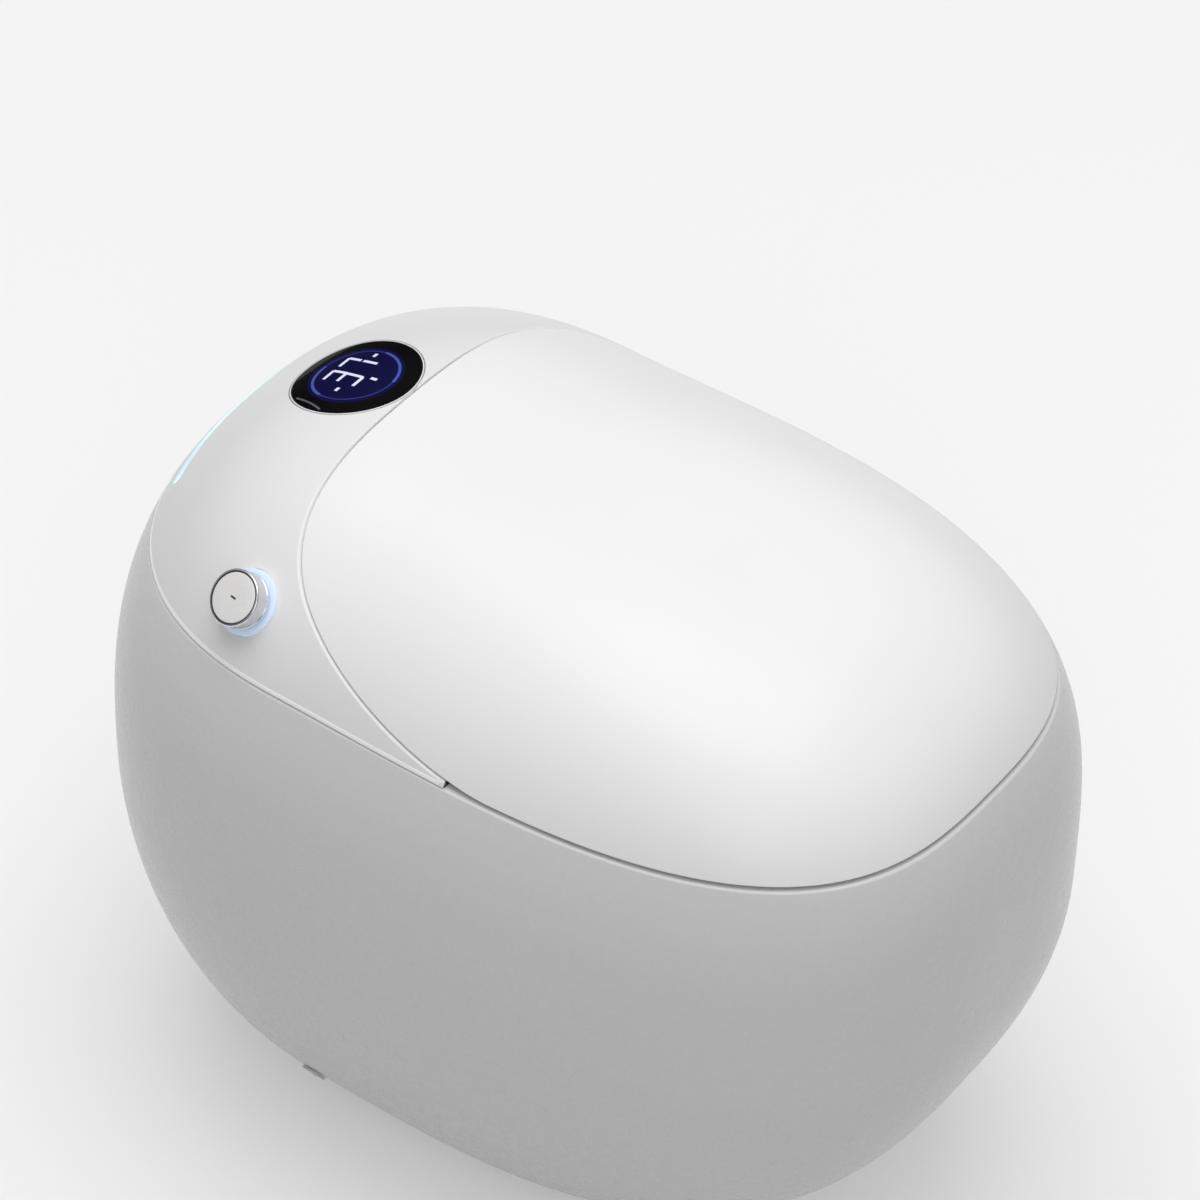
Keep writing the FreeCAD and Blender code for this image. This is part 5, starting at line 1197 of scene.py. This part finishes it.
class RearHousing:
    """Cover behind the lid with display, knob ring and light strip."""

    display_y = 187.0
    display_r = 41.5
    lens_gap = 1.8
    glow_r = 31.0
    dial_r = 27.6
    knob_y = 139.0
    knob_z = 437.0
    knob_hole_r = 21.1
    light_bend_r = 290.0
    light_half = 92.0
    light_width = 7.0
    light_z = 438.0
    bulkhead_half = 172.0
    bulkhead_front = 138.0
    bulkhead_wall = 3.0
    bulkhead_foot = 406.4

    def __init__(self) -> None:
        """Works out the places on the outline."""
        self.display = np.array([0.0, self.display_y, float(OUTLINE.height(0.0, self.display_y))])
        self.display_out = OUTLINE.normals(self.display)

        def tall(x: float) -> bool:
            """Whether the outline is over the knob's middle at a place across."""
            return float(OUTLINE.height(x, self.knob_y)) > self.knob_z

        across = turning_point(0.0, OUTLINE.half_width - 1.0, tall)
        self.knob = np.array([-across, self.knob_y, self.knob_z])
        self.knob_out = OUTLINE.normals(self.knob)

    def build(self) -> None:
        """Makes the housing's pieces."""
        shell = HousingSkin().solid("rear_housing_shell")
        r = self.display_r + self.lens_gap
        around = [(0, -16), (r, -16), (r, 8), (0, 8)]
        shell.cut(Solid.turned("cutter", around, self.display, self.display_out, 128))
        r = self.knob_hole_r
        hole = [(0, -12), (r, -12), (r, 12), (0, 12)]
        shell.cut(Solid.turned("cutter", hole, self.knob, self.knob_out, 96))
        shell.cut(self.light_bar("cutter", 0.3))
        shell.smooth(35.0, on_outline=0.05)
        Piece(shell, HOUSING_WHITE, "root", "white_plastic", ["rear_housing"])
        Piece(self.seat_ring(), HOUSING_WHITE, "root", "white_plastic")
        # Painted highlight: a bright white strip along the housing's bottom edge.
        Piece(self.painted_highlight_line(), PAINTED_HIGHLIGHT_WHITE, "root", "white_plastic")
        Piece(self.bulkhead(), TRIM_WHITE, "root", "white_plastic")
        self.build_display()
        light = self.light_bar("rear_light_strip", 0.0)
        light = self.trim_to_skin(light, 2.4)
        Piece(light, ICE_GLOW, "root", "light_strip", ["rear_light"])

    def trim_to_skin(self, solid: Solid, thickness: float) -> Solid:
        """Moves a solid's front and rear faces onto the two sides of the housing's skin."""
        mesh = solid.object.data
        for vertex in mesh.vertices:
            point = np.array(vertex.co) / MM
            inset = 0.0 if point[1] > 250.0 else thickness

            def tall(y: float, point: np.ndarray = point, inset: float = inset) -> bool:
                """Whether the skin is over the point at a station."""
                return float(OUTLINE.height(point[0], y, inset)) > point[2]

            vertex.co.y = turning_point(100.0, 308.0, tall) * MM
        return solid.outward().smooth(50.0)

    def light_bar(self, name: str, grow: float) -> Solid:
        """Curved band for the light strip, long along Y."""
        radius, side = self.light_bend_r, self.light_width / 2 + grow
        reach = math.asin((self.light_half + grow) / radius)
        turns = np.linspace(-reach, reach, 61)
        top, foot = radius + side, radius - side
        outline = [(top * math.sin(t), top * math.cos(t)) for t in turns]
        outline += self.light_end(reach, 1, side)
        outline += [(foot * math.sin(t), foot * math.cos(t)) for t in turns[::-1]]
        outline += self.light_end(reach, -1, side)
        points = [(x, 201.0, self.light_z - radius + up) for x, up in outline]
        return Solid.prism(name, points, (0, 110, 0)).outward()

    def light_end(self, reach: float, sign: int, side: float) -> list[tuple[float, float]]:
        """Points round one of the light strip's round ends, in the outline's order."""
        points = []
        for t in np.linspace(0.0, math.pi, 9)[1:-1][::sign]:
            angle = sign * (reach + math.sin(t) * side / self.light_bend_r)
            r = self.light_bend_r + side * math.cos(t)
            points.append((r * math.sin(angle), r * math.cos(angle)))
        return points

    def disc(
        self,
        name: str,
        radius: float,
        outer: float,
        inner: float,
        hole: float = 0.0,
        edge: float = 0.0,
    ) -> Solid:
        """A disc or ring that follows the outline round the display's axis.

        Args:
            name: the piece's name.
            radius: outside radius.
            outer: inset of its top face.
            inner: inset of its underside.
            hole: radius of its hole.
            edge: rounding of its top edge.
        """
        turns = full_circle(144)

        def ring(r: float, inset: float) -> np.ndarray:
            """Points of the skin at a distance from the display's axis."""
            return self.on_skin(r * np.cos(turns), r * np.sin(turns), inset)

        rings = []
        radii = np.linspace(hole, radius - edge, 16)
        for r in radii[(0 if hole else 1):]:
            rings.append(ring(r, outer))
        if edge:
            for t in np.linspace(0.3, QUARTER_TURN, 4):
                inset = outer + edge * (1 - math.cos(t))
                rings.append(ring(radius - edge * (1 - math.sin(t)), inset))
        for r in radii[::-1][:(len(radii) if hole else len(radii) - 1)]:
            rings.append(ring(r + (edge if r == radii[-1] else 0.0), inner))
        if hole:
            return Solid.rings(name, rings, closed=True).outward()
        start, end = (self.on_skin(np.zeros(1), np.zeros(1), inset)[0] for inset in (outer, inner))
        return Solid.rings(name, rings, start=start, end=end).outward()

    def on_skin(self, u: np.ndarray, v: np.ndarray, inset: float) -> np.ndarray:
        """Points of the outline at offsets across and up, seen along the display's axis."""
        out = self.display_out
        up = np.cross(out, np.array([1.0, 0.0, 0.0]))
        flat = self.display + np.outer(u, [1.0, 0.0, 0.0]) + np.outer(v, up)
        x, y = flat[:, 0].copy(), flat[:, 1].copy()
        for _ in range(6):
            z = OUTLINE.height(x, y, inset)
            lift = ((np.stack([x, y, z], axis=-1) - flat) @ out)
            target = flat + np.outer(lift, out)
            x, y = target[:, 0], target[:, 1]
        return np.stack([x, y, OUTLINE.height(x, y, inset)], axis=-1)

    def seat_ring(self) -> Solid:
        """Ledge under the display glass."""
        ledge = self.disc("display_ledge", self.display_r + 4.5, 2.9, 5.0, self.display_r - 4.0)
        return ledge.smooth(40.0)

    def build_display(self) -> None:
        """Glass, ring, panel and marks."""
        r = self.display_r
        lens = self.disc("display_glass", r, 0.0, 2.5, edge=0.5).smooth(40.0, on_outline=0.05)
        Piece(lens, GLASS_BLACK, "root", "display_glass", ["display_lens"])
        ring = self.disc("display_trim_ring", r + 0.9, -0.05, 2.5, r + 0.25)
        Piece(ring.smooth(40.0), BEZEL, "root", "chrome", ["display_bezel"])
        glow = self.disc("display_glow", self.glow_r, -0.06, 0.3)
        Piece(glow.smooth(40.0, on_outline=0.1), NAVY, "root", "display_panel")
        self.build_dial()
        self.build_digits()

    def build_dial(self) -> None:
        """Ring round the digits with two brighter arcs, and a scale line at the glass's edge."""
        size = self.dial_r
        whole = [(size * math.cos(t), size * math.sin(t)) for t in np.linspace(0, FULL_TURN, 121)]
        self.mark("display_ring", whole, 0.55, BLUE_DIM, 0.10)
        for name, middle in (("near", 124.0), ("far", -44.0)):
            turns = np.radians(np.linspace(middle - 40.0, middle + 40.0, 41))
            arc = [(size * math.cos(t), size * math.sin(t)) for t in turns]
            self.mark(f"display_ring_{name}", arc, 0.95, BLUE_MARK, 0.14)
        edge = [(-33.2, 21.5), (-34.6, 13.0), (-36.4, 5.0), (-39.2, -3.0)]
        self.mark("display_scale_line", smooth_line(edge, 6), 0.7, GREY_MARK, 0.14)

    def build_digits(self) -> None:
        """The two digits, drawn in segments, and the dashes around them."""
        top, middle, low = 17.3, 6.4, -7.2
        bars = {
            "three_top": [(-11.3, top), (-1.0, top)],
            "three_middle": [(-10.6, middle), (-1.4, middle)],
            "three_low": [(-11.6, low), (-1.6, low)],
            "three_upper": [(-1.2, top), (-1.2, middle)],
            "three_lower": [(-1.4, middle), (-1.5, low)],
            "seven_top": [(4.4, top), (14.5, top)],
            "seven_upper": [(14.4, top), (14.3, 7.4)],
            "seven_lower": [(14.3, 5.4), (14.6, -5.4)],
            "dash_left": [(-20.0, 0.0), (-16.4, 0.0)],
            "dash_low": [(0.0, -12.4), (0.0, -17.0)],
            "dash_right": [(20.6, 2.6), (24.2, 2.6)],
        }
        for name, line in bars.items():
            self.mark(f"display_{name}", line, 1.1, WHITE_MARK, 0.18)

    def mark(
        self, name: str, line: Sequence, half_width: float, finish: Finish, lift: float
    ) -> None:
        """A printed or lit line on the display glass.

        Args:
            name: the piece's name.
            line: points (across, up) in millimetres from the display's centre.
            half_width: half the line's width.
            finish: its material.
            lift: height of its face over the glass.
        """
        line = np.asarray(line, dtype=float)
        dense = [line[0]]
        for a, b in zip(line, line[1:]):
            count = max(1, int(np.linalg.norm(b - a) / 1.5))
            dense += [a + (b - a) * (k + 1) / count for k in range(count)]
        line = np.array(dense)
        ahead = np.gradient(line, axis=0)
        ahead /= np.linalg.norm(ahead, axis=1, keepdims=True)
        side = np.stack([-ahead[:, 1], ahead[:, 0]], axis=-1) * half_width
        rows = []
        for offset, inset in ((1, -lift), (-1, -lift), (-1, 0.3), (1, 0.3)):
            flat = line + side * offset
            rows.append(self.on_skin(flat[:, 0], flat[:, 1], inset))
        Piece(Solid.bar(name, np.stack(rows, axis=1)), finish, "root", "display_panel")

    def painted_highlight_line(self) -> Solid:
        """Painted highlight: a brighter, glossier white strip along the housing's bottom edge, in
        place of the light that the edge catches.
        """
        skin = HousingSkin()
        turns = np.linspace(skin.tip_turn + 0.01, math.pi - skin.tip_turn - 0.01, 420)
        edge = ((0.2, 0.3), (0.2, -0.02), (0.5, -0.14), (2.0, -0.14), (2.3, -0.02), (2.3, 0.3))
        rows = [OUTLINE.ring(turns, skin.bottom + up, inset) for up, inset in edge]
        return Solid.bar("housing_painted_highlight_line", np.stack(rows, axis=1)).smooth(40.0)

    def bulkhead(self) -> Solid:
        """Wall across the housing behind the hinge, hollowed for the lid's rear edge."""
        xs = np.linspace(-self.bulkhead_half, self.bulkhead_half, 121)
        rows = 40
        sections = []
        for x in xs:
            radius = self.lid_swing(x)

            def front(z: float, radius: float = radius) -> float:
                """The wall's front at a height, behind the lid's rear edge as it turns."""
                rise = z - HINGE.z
                depth = math.sqrt(max(radius * radius - rise * rise, 0.0))
                return max(self.bulkhead_front, HINGE.y + depth if radius else 0.0)

            def inside(z: float, x: float = x, front: Callable[[float], float] = front) -> bool:
                """Whether a height is under the housing's skin."""
                return float(OUTLINE.height(x, front(z), 2.8)) > z

            foot = self.bulkhead_foot
            top = turning_point(405.0, 489.0, inside)
            levels = np.linspace(foot, max(top, 407.0), rows)
            face = [(x, front(z), z) for z in levels]
            back = [(x, front(z) + self.bulkhead_wall, z - 0.02 * (z - foot)) for z in levels[::-1]]
            sections.append(face + back)
        wall = Solid.bar("housing_bulkhead", np.array(sections))
        wall.cut(Solid.block("cutter", (-19, 120, 400), (19, 160, 450)))
        return wall.smooth(35.0)

    def lid_swing(self, x: float) -> float:
        """Distance from the pins to the lid's rear edge at a place across, or 0 before them."""

        def above(y: float) -> bool:
            """Whether the outline is over the seam at a station."""
            return float(OUTLINE.height(x, y)) > float(SPLIT.seam_z(np.array(y), 0.0))

        edge = turning_point(SPLIT.seam_front_y, SPLIT.seam_back_y - 0.001, above)
        if edge <= HINGE.y:
            return 0.0
        tall = float(OUTLINE.height(x, edge))
        return math.hypot(edge - HINGE.y, tall - HINGE.z) + SPLIT.seam_gap


class Knob:
    """Round dial on the side of the housing."""

    radius = 17.8
    halo_r = 20.8
    bore_r = 4.05
    face_seat = 13.5
    mark_z = 14.7
    mark_half = 1.6
    mark_r = 0.6
    mark_height = 0.3

    def __init__(self, housing: RearHousing) -> None:
        """Takes the dial's place from the housing."""
        self.base = housing.knob
        self.out = housing.knob_out

    def build(self) -> None:
        """Makes the dial, its cap, its pointer and the glowing ring."""
        h = self.halo_r
        halo = [(6.0, -6.0), (h - 0.2, -6.0), (h, -5.8), (h, 0.2), (h - 0.2, 0.6), (h - 0.7, 0.8)]
        halo += [(6.4, 0.8), (6.0, 0.4)]
        ring = Solid.turned("knob_glow_ring", halo, self.base, self.out, 128).smooth(40.0)
        Piece(ring, HALO_GLOW, "root", "light_strip", ["knob_halo"])
        r, bore, seat = self.radius, self.bore_r, self.face_seat
        profile = [(bore, 9.6), (bore, 4.2), (7.0, 4.2), (7.0, 8.6), (r - 2.5, 8.6), (r - 2.5, 2.4)]
        profile += [(r - 1.4, 2.2), (r - 0.4, 2.3), (r, 2.9), (r, 5.0), (r - 0.3, 5.3)]
        profile += [(r - 0.3, 5.9), (r, 6.2)]
        for t in np.linspace(0.0, QUARTER_TURN, 7):
            profile.append((r - 1.1 * (1 - math.cos(t)), 13.8 + 1.1 * math.sin(t)))
        profile += [(r - 1.3, 14.9), (r - 1.4, 14.7), (r - 1.4, seat), (4.0, seat), (2.0, 11.0)]
        profile += [(2.0, 10.2), (bore, 10.1)]
        body = Solid.turned("knob_ring", profile, self.base, self.out, 160).smooth(30.0)
        Piece(body, CHROME, "knob", "chrome", ["knob_body"])
        edge = [(r - 2.3, seat), (r - 1.45, seat), (r - 1.45, 14.5), (r - 2.3, 14.5)]
        line = Solid.turned("knob_edge_line", edge, self.base, self.out, 160).smooth(30.0)
        Piece(line, DARK_PLASTIC, "knob", "dark_plastic")
        f = r - 2.35
        cap = [(0.0, seat), (f - 0.1, seat), (f, 13.6), (f, 14.5), (f - 0.2, 14.72)]
        cap += [(f - 0.6, 14.8), (8.0, 14.9), (0.0, 14.95)]
        face = Solid.turned("knob_face", cap, self.base, self.out, 160).smooth(40.0)
        Piece(face, KNOB_WHITE, "knob", "white_plastic", ["knob_cap"])
        Piece(self.pointer(), DARK_PLASTIC, "knob", "dark_plastic")

    def pointer(self) -> Solid:
        """Short dark mark near the middle of the dial's face."""
        out = np.array(self.out)
        up = np.array([0.0, 0.0, 1.0])
        up = up - out * np.dot(up, out)
        up /= np.linalg.norm(up)
        side = np.cross(up, out)
        turns = full_circle(24)
        middle = self.base + out * self.mark_z
        outline = []
        for t in turns:
            across = math.copysign(self.mark_half, math.cos(t)) + self.mark_r * math.cos(t)
            outline.append(middle + up * self.mark_r * math.sin(t) + side * across)
        return Solid.prism("knob_pointer", outline, out * self.mark_height).outward()


class Seat:
    """Heated seat: a smooth ring with a fine joint between its two shells, and hinge arms."""

    bottom = 407.0
    height = 20.0
    split = 6.0
    inset = 8.5
    centre_y = -88.0
    hole = (98.0, 127.0)
    hole_power = 2.3
    rear_y = 88.0
    rear_half = 196.0
    rear_power = 3.4
    blend = 12
    power = 3.2
    lean = 0.35
    joint_half = 0.035
    joint_depth = 0.55
    columns = 288

    def outer_reach(self, turns: np.ndarray) -> np.ndarray:
        """Distance from the seat's centre to its outside."""
        level = self.bottom + self.height / 2

        def inside(x: np.ndarray, y: np.ndarray) -> np.ndarray:
            """Positive inside both the outline, set in, and the seat's straighter rear."""
            height = (level - OUTLINE.widest_z) / (OUTLINE.crown_rise - self.inset)
            spread, lengthwise, rear = OUTLINE.spread(x, y, self.inset)
            side = OUTLINE.side_power(lengthwise, rear, np.ones_like(rear, dtype=bool))
            body = spread / (1 - height**side) ** (1 / side)
            along = np.abs((y - self.centre_y) / (self.rear_y - self.centre_y))
            back = (np.abs(x) / self.rear_half) ** self.rear_power + along**self.rear_power
            back = np.where(y > self.centre_y, back ** (1 / self.rear_power), 0.0)
            return 1.0 - (body**self.blend + back**self.blend) ** (1 / self.blend)

        return first_outside(inside, (0.0, self.centre_y), turns, 300.0)

    def solid(self) -> Solid:
        """The seat ring."""
        turns = full_circle(self.columns)
        hole = np.abs(np.cos(turns) / self.hole[0]) ** self.hole_power
        hole += np.abs(np.sin(turns) / self.hole[1]) ** self.hole_power
        inner = hole ** (-1 / self.hole_power)
        outer = self.outer_reach(turns)
        middle_z = self.bottom + self.height / 2
        centre = (inner + outer) / 2
        half = (outer - inner) / 2
        rings = []
        for across, up, groove in self.section():
            z = middle_z + self.height / 2 * up
            lean = (z - middle_z) * self.lean if across > 0 else 0.0
            reach = centre + half * across - lean - math.copysign(groove, across)
            x, y = reach * np.cos(turns), self.centre_y + reach * np.sin(turns)
            rings.append(np.stack([x, y, np.full_like(turns, z)], axis=-1))
        return Solid.rings("seat_ring", rings, closed=True).outward().smooth(45.0)

    def section(self) -> list[tuple[float, float, float]]:
        """Points round the seat's section: across and up (-1 to 1) and the joint's depth."""
        joint = self.split / (self.height / 2) - 1.0
        points = []
        for angle in full_circle(72):
            c, s = math.cos(angle), math.sin(angle)
            size = (abs(c) ** self.power + abs(s) ** self.power) ** (-1 / self.power)
            if abs(size * s - joint) > 2 * self.joint_half:
                points.append((size * c, size * s, 0.0))
        wide = (1 - abs(joint) ** self.power) ** (1 / self.power)
        step, deep = self.joint_half, self.joint_depth
        groove = ((step, 0.0), (step * 0.6, deep), (-step * 0.6, deep), (-step, 0.0))
        for side in (-1, 1):
            for shift, depth in groove:
                points.append((side * wide, joint + shift, depth))
        return sorted(points, key=lambda p: math.atan2(p[1], p[0]))

    def arm(self, sign: int) -> Solid:
        """One hinge arm with its barrel."""
        outline = [(58.0, 425.0), (80.0, 415.5), *HINGE.barrel(-0.78, 2.36, 20)]
        return knuckle("seat_arm", sign, HINGE.seat_arm, outline).bevel(0.8, 3).smooth(35.0)

    def build(self) -> None:
        """Makes the seat's pieces."""
        Piece(self.solid(), SEAT_WHITE, "seat", "seat_plastic", ["seat_top", "seat_base"])
        for sign in (-1, 1):
            Piece(self.arm(sign), SEAT_WHITE, "seat", "seat_plastic")


class PanelScrews:
    """Pan-head screws at the rear panel's corners: one shape set out on points by a node tree."""

    places = [(side * 85.0, 281.0, z) for side in (-1, 1) for z in (155.0, 325.0)]
    sizes = {"Head radius": 4.0, "Top radius": 3.3, "Head height": 2.0, "Recess length": 5.0,
             "Recess width": 1.0, "Recess depth": 1.0, "Shank radius": 2.0, "Shank length": 2.9}

    def tree(self) -> Tree:
        """The node tree: a head with a cross recess and a shank, set on each point."""
        tree = bpy.data.node_groups.new("panel_screws", "GeometryNodeTree")
        tree.interface.new_socket("Points", in_out="INPUT", socket_type="NodeSocketGeometry")
        for name in self.sizes:
            tree.interface.new_socket(name, in_out="INPUT", socket_type="NodeSocketFloat")
        tree.interface.new_socket("Finish", in_out="INPUT", socket_type="NodeSocketMaterial")
        tree.interface.new_socket("Screws", in_out="OUTPUT", socket_type="NodeSocketGeometry")
        start = tree.nodes.new("NodeGroupInput").outputs
        end = tree.nodes.new("NodeGroupOutput")
        link = tree.links.new

        head = tree.nodes.new("GeometryNodeMeshCone")
        head.inputs["Vertices"].default_value = 48
        link(start["Top radius"], head.inputs["Radius Top"])
        link(start["Head radius"], head.inputs["Radius Bottom"])
        link(start["Head height"], head.inputs["Depth"])
        cut = tree.nodes.new("GeometryNodeMeshBoolean")
        cut.operation = "DIFFERENCE"
        cut.solver = "EXACT"
        link(head.outputs["Mesh"], cut.inputs["Mesh 1"])
        deep = self.sum_of(tree, start["Recess depth"], start["Recess depth"])
        for order in (("Recess length", "Recess width"), ("Recess width", "Recess length")):
            slot = tree.nodes.new("GeometryNodeMeshCube")
            size = tree.nodes.new("ShaderNodeCombineXYZ")
            link(start[order[0]], size.inputs["X"])
            link(start[order[1]], size.inputs["Y"])
            link(deep, size.inputs["Z"])
            link(size.outputs["Vector"], slot.inputs["Size"])
            raised = self.lifted(tree, slot.outputs["Mesh"], start["Head height"])
            link(raised, cut.inputs["Mesh 2"])
        shank = tree.nodes.new("GeometryNodeMeshCylinder")
        shank.inputs["Vertices"].default_value = 32
        link(start["Shank radius"], shank.inputs["Radius"])
        link(start["Shank length"], shank.inputs["Depth"])
        half = tree.nodes.new("ShaderNodeMath")
        half.operation = "MULTIPLY"
        half.inputs[1].default_value = -0.5
        link(start["Shank length"], half.inputs[0])
        screw = tree.nodes.new("GeometryNodeJoinGeometry")
        link(cut.outputs["Mesh"], screw.inputs["Geometry"])
        lowered = self.lifted(tree, shank.outputs["Mesh"], half.outputs["Value"])
        link(lowered, screw.inputs["Geometry"])

        place = tree.nodes.new("GeometryNodeInstanceOnPoints")
        place.inputs["Rotation"].default_value = (-QUARTER_TURN, 0.0, 0.0)
        link(start["Points"], place.inputs["Points"])
        link(screw.outputs["Geometry"], place.inputs["Instance"])
        real = tree.nodes.new("GeometryNodeRealizeInstances")
        link(place.outputs["Instances"], real.inputs["Geometry"])
        dress = tree.nodes.new("GeometryNodeSetMaterial")
        link(real.outputs["Geometry"], dress.inputs["Geometry"])
        link(start["Finish"], dress.inputs["Material"])
        link(dress.outputs["Geometry"], end.inputs["Screws"])
        return tree

    def sum_of(self, tree: Tree, first: Socket, second: Socket) -> Socket:
        """The sum of two sockets' values."""
        node = tree.nodes.new("ShaderNodeMath")
        tree.links.new(first, node.inputs[0])
        tree.links.new(second, node.inputs[1])
        return node.outputs["Value"]

    def lifted(self, tree: Tree, mesh: Socket, height: Socket) -> Socket:
        """A mesh moved up by a socket's value.

        Args:
            tree: the node tree.
            mesh: the mesh.
            height: how far it moves.

        Returns:
            The moved mesh.
        """
        shift = tree.nodes.new("ShaderNodeCombineXYZ")
        move = tree.nodes.new("GeometryNodeTransform")
        tree.links.new(height, shift.inputs["Z"])
        tree.links.new(shift.outputs["Vector"], move.inputs["Translation"])
        tree.links.new(mesh, move.inputs["Geometry"])
        return move.outputs["Geometry"]

    def solid(self) -> Solid:
        """The screws as one plain mesh."""
        solid = Solid("panel_screws", np.array(self.places), [])
        change = solid.object.modifiers.new("screws", "NODES")
        change.node_group = self.tree()
        for item in change.node_group.interface.items_tree:
            if item.name in self.sizes:
                change[item.identifier] = self.sizes[item.name] * MM
            elif item.name == "Finish":
                change[item.identifier] = STEEL.material()
        solid.apply()
        return solid.smooth(35.0)

    def build(self) -> None:
        """Makes the screws' piece."""
        Piece(self.solid(), STEEL, "root", "steel", ["service_screws"])


# ---------------------------------------------------------------------------
# Scene
# ---------------------------------------------------------------------------
@dataclass(frozen=True)
class Camera:
    """The photograph's view: direction, distance and the pixel of a known point."""

    azimuth: float = -52.28
    elevation: float = 43.748
    distance: float = 3156.0
    target: tuple[float, float, float] = (0.0, 95.0, 240.0)
    focal_px: float = 4926.5
    pixel: tuple[float, float] = (474.143, 721.002)
    size: float = 1200.0

    def build(self) -> None:
        """Adds the camera, turned so that its axis meets the middle of the picture."""
        a, e = math.radians(self.azimuth), math.radians(self.elevation)
        right = Vector((math.cos(a), math.sin(a), 0.0))
        up = Vector((-math.sin(a) * math.sin(e), math.cos(a) * math.sin(e), math.cos(e)))
        back = Vector((math.sin(a) * math.cos(e), -math.cos(a) * math.cos(e), math.sin(e)))
        place = Vector(self.target) + back * self.distance
        half = self.size / 2
        shift_x = (half - self.pixel[0]) / self.focal_px
        shift_y = -(half - self.pixel[1]) / self.focal_px
        axis = (-back + right * shift_x + up * shift_y).normalized()
        new_right = (right - axis * right.dot(axis)).normalized()
        new_up = new_right.cross(axis)
        data = bpy.data.cameras.new("camera")
        focal = self.focal_px * math.sqrt(1 + shift_x**2 + shift_y**2)
        data.sensor_width = 36.0
        data.lens = 36.0 * focal / self.size
        data.clip_end = 50.0
        camera = bpy.data.objects.new("camera", data)
        turn = Matrix((new_right, new_up, -axis)).transposed().to_4x4()
        camera.matrix_world = Matrix.Translation(place * MM) @ turn
        bpy.context.scene.collection.objects.link(camera)
        bpy.context.scene.camera = camera


class Studio:
    """Pale floor and soft light."""

    floor_half = 14.0
    floor_tones = ((0.0, (0.62, 0.62, 0.62)), (1.0, (0.63, 0.63, 0.63)))
    floor_seen = (0.305, 0.305, 0.305, 1.0)
    sky = ((0.3, (0.12, 0.12, 0.122)), (1.0, (1.0, 1.0, 1.0)))
    aim = (0.0, 0.0, 0.3)

    def build(self) -> None:
        """Adds the floor, the lights and the surroundings."""
        self.floor()
        self.world()
        self.softbox("key", (0.35, 0.2, 4.2), size=3.2, power=72.0)
        self.softbox("fill", (-2.6, -2.0, 2.6), size=2.2, power=20.0)
        bpy.context.scene.view_settings.view_transform = "Standard"

    def floor(self) -> None:
        """A wide pale plane, brighter to the rays that see it but not to the object's light."""
        mesh = bpy.data.meshes.new("floor")
        half = self.floor_half
        corners = [(-half, -half, 0), (half, -half, 0), (half, half, 0), (-half, half, 0)]
        mesh.from_pydata(corners, [], [(0, 1, 2, 3)])
        floor = bpy.data.objects.new("floor", mesh)
        bpy.context.scene.collection.objects.link(floor)
        made = bpy.data.materials.new("floor_pale")
        made.use_nodes = True
        tree = made.node_tree
        shader = tree.nodes["Principled BSDF"]
        shader.inputs["Roughness"].default_value = 0.9
        shader.inputs["Specular IOR Level"].default_value = 0.1
        place = tree.nodes.new("ShaderNodeTexCoord").outputs["Object"]
        tones = ramp(tree, noise(tree, place, 1.5), *self.floor_tones)
        tree.links.new(tones, shader.inputs["Base Color"])
        shader.inputs["Emission Color"].default_value = self.floor_seen
        tree.links.new(self.seen_rays(tree), shader.inputs["Emission Strength"])
        made.cycles.emission_sampling = "NONE"
        mesh.materials.append(made)

    def seen_rays(self, tree: Tree) -> Socket:
        """1 for rays that see the floor, straight or in a gloss or a glass, and 0 for others."""
        path = tree.nodes.new("ShaderNodeLightPath")
        seen = path.outputs["Is Camera Ray"]
        for name in ("Is Glossy Ray", "Is Transmission Ray"):
            add = tree.nodes.new("ShaderNodeMath")
            add.use_clamp = True
            tree.links.new(seen, add.inputs[0])
            tree.links.new(path.outputs[name], add.inputs[1])
            seen = add.outputs["Value"]
        return seen

    def world(self) -> None:
        """Surroundings that are bright overhead and dimmer at the horizon."""
        world = bpy.data.worlds.new("surroundings")
        bpy.context.scene.world = world
        world.use_nodes = True
        tree = world.node_tree
        back = tree.nodes["Background"]
        place = tree.nodes.new("ShaderNodeTexCoord")
        split = tree.nodes.new("ShaderNodeSeparateXYZ")
        tree.links.new(place.outputs["Generated"], split.inputs["Vector"])
        tree.links.new(ramp(tree, split.outputs["Z"], *self.sky), back.inputs["Color"])
        back.inputs["Strength"].default_value = 1.0

    def softbox(self, name: str, place: Sequence[float], size: float, power: float) -> None:
        """A large square light that faces the object.

        Args:
            name: its name.
            place: its middle, in metres.
            size: its side, in metres.
            power: its power in watts.
        """
        data = bpy.data.lights.new(name, "AREA")
        data.energy = power
        data.size = size
        light = bpy.data.objects.new(name, data)
        light.location = place
        ahead = Vector(self.aim) - Vector(place)
        light.rotation_euler = ahead.to_track_quat("-Z", "Y").to_euler()
        bpy.context.scene.collection.objects.link(light)


def dress_nodes(frame: dict) -> None:
    """Gives every CAD node its procedural material."""
    for name, node in frame["nodes"].items():
        finish = NODE_FINISHES.get(name, TRIM_WHITE)
        slots = node.material_slots
        if not slots:
            node.data.materials.append(finish.material())
        for slot in slots:
            slot.material = finish.material()
        log.info("node %s: %s", name, finish.name)


def main() -> None:
    """Builds the scene."""
    logging.basicConfig(level=logging.INFO, format="%(name)s: %(message)s")
    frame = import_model()
    Camera().build()
    Studio().build()
    dress_nodes(frame)
    body = CeramicBody().solid()
    Piece(body, CERAMIC, "root", "ceramic", ["ceramic_body"])
    Lid().build()
    housing = RearHousing()
    housing.build()
    Knob(housing).build()
    Seat().build()
    PanelScrews().build()
    log.info("%d pieces", len(Piece.made))


if __name__ == "__main__":
    main()
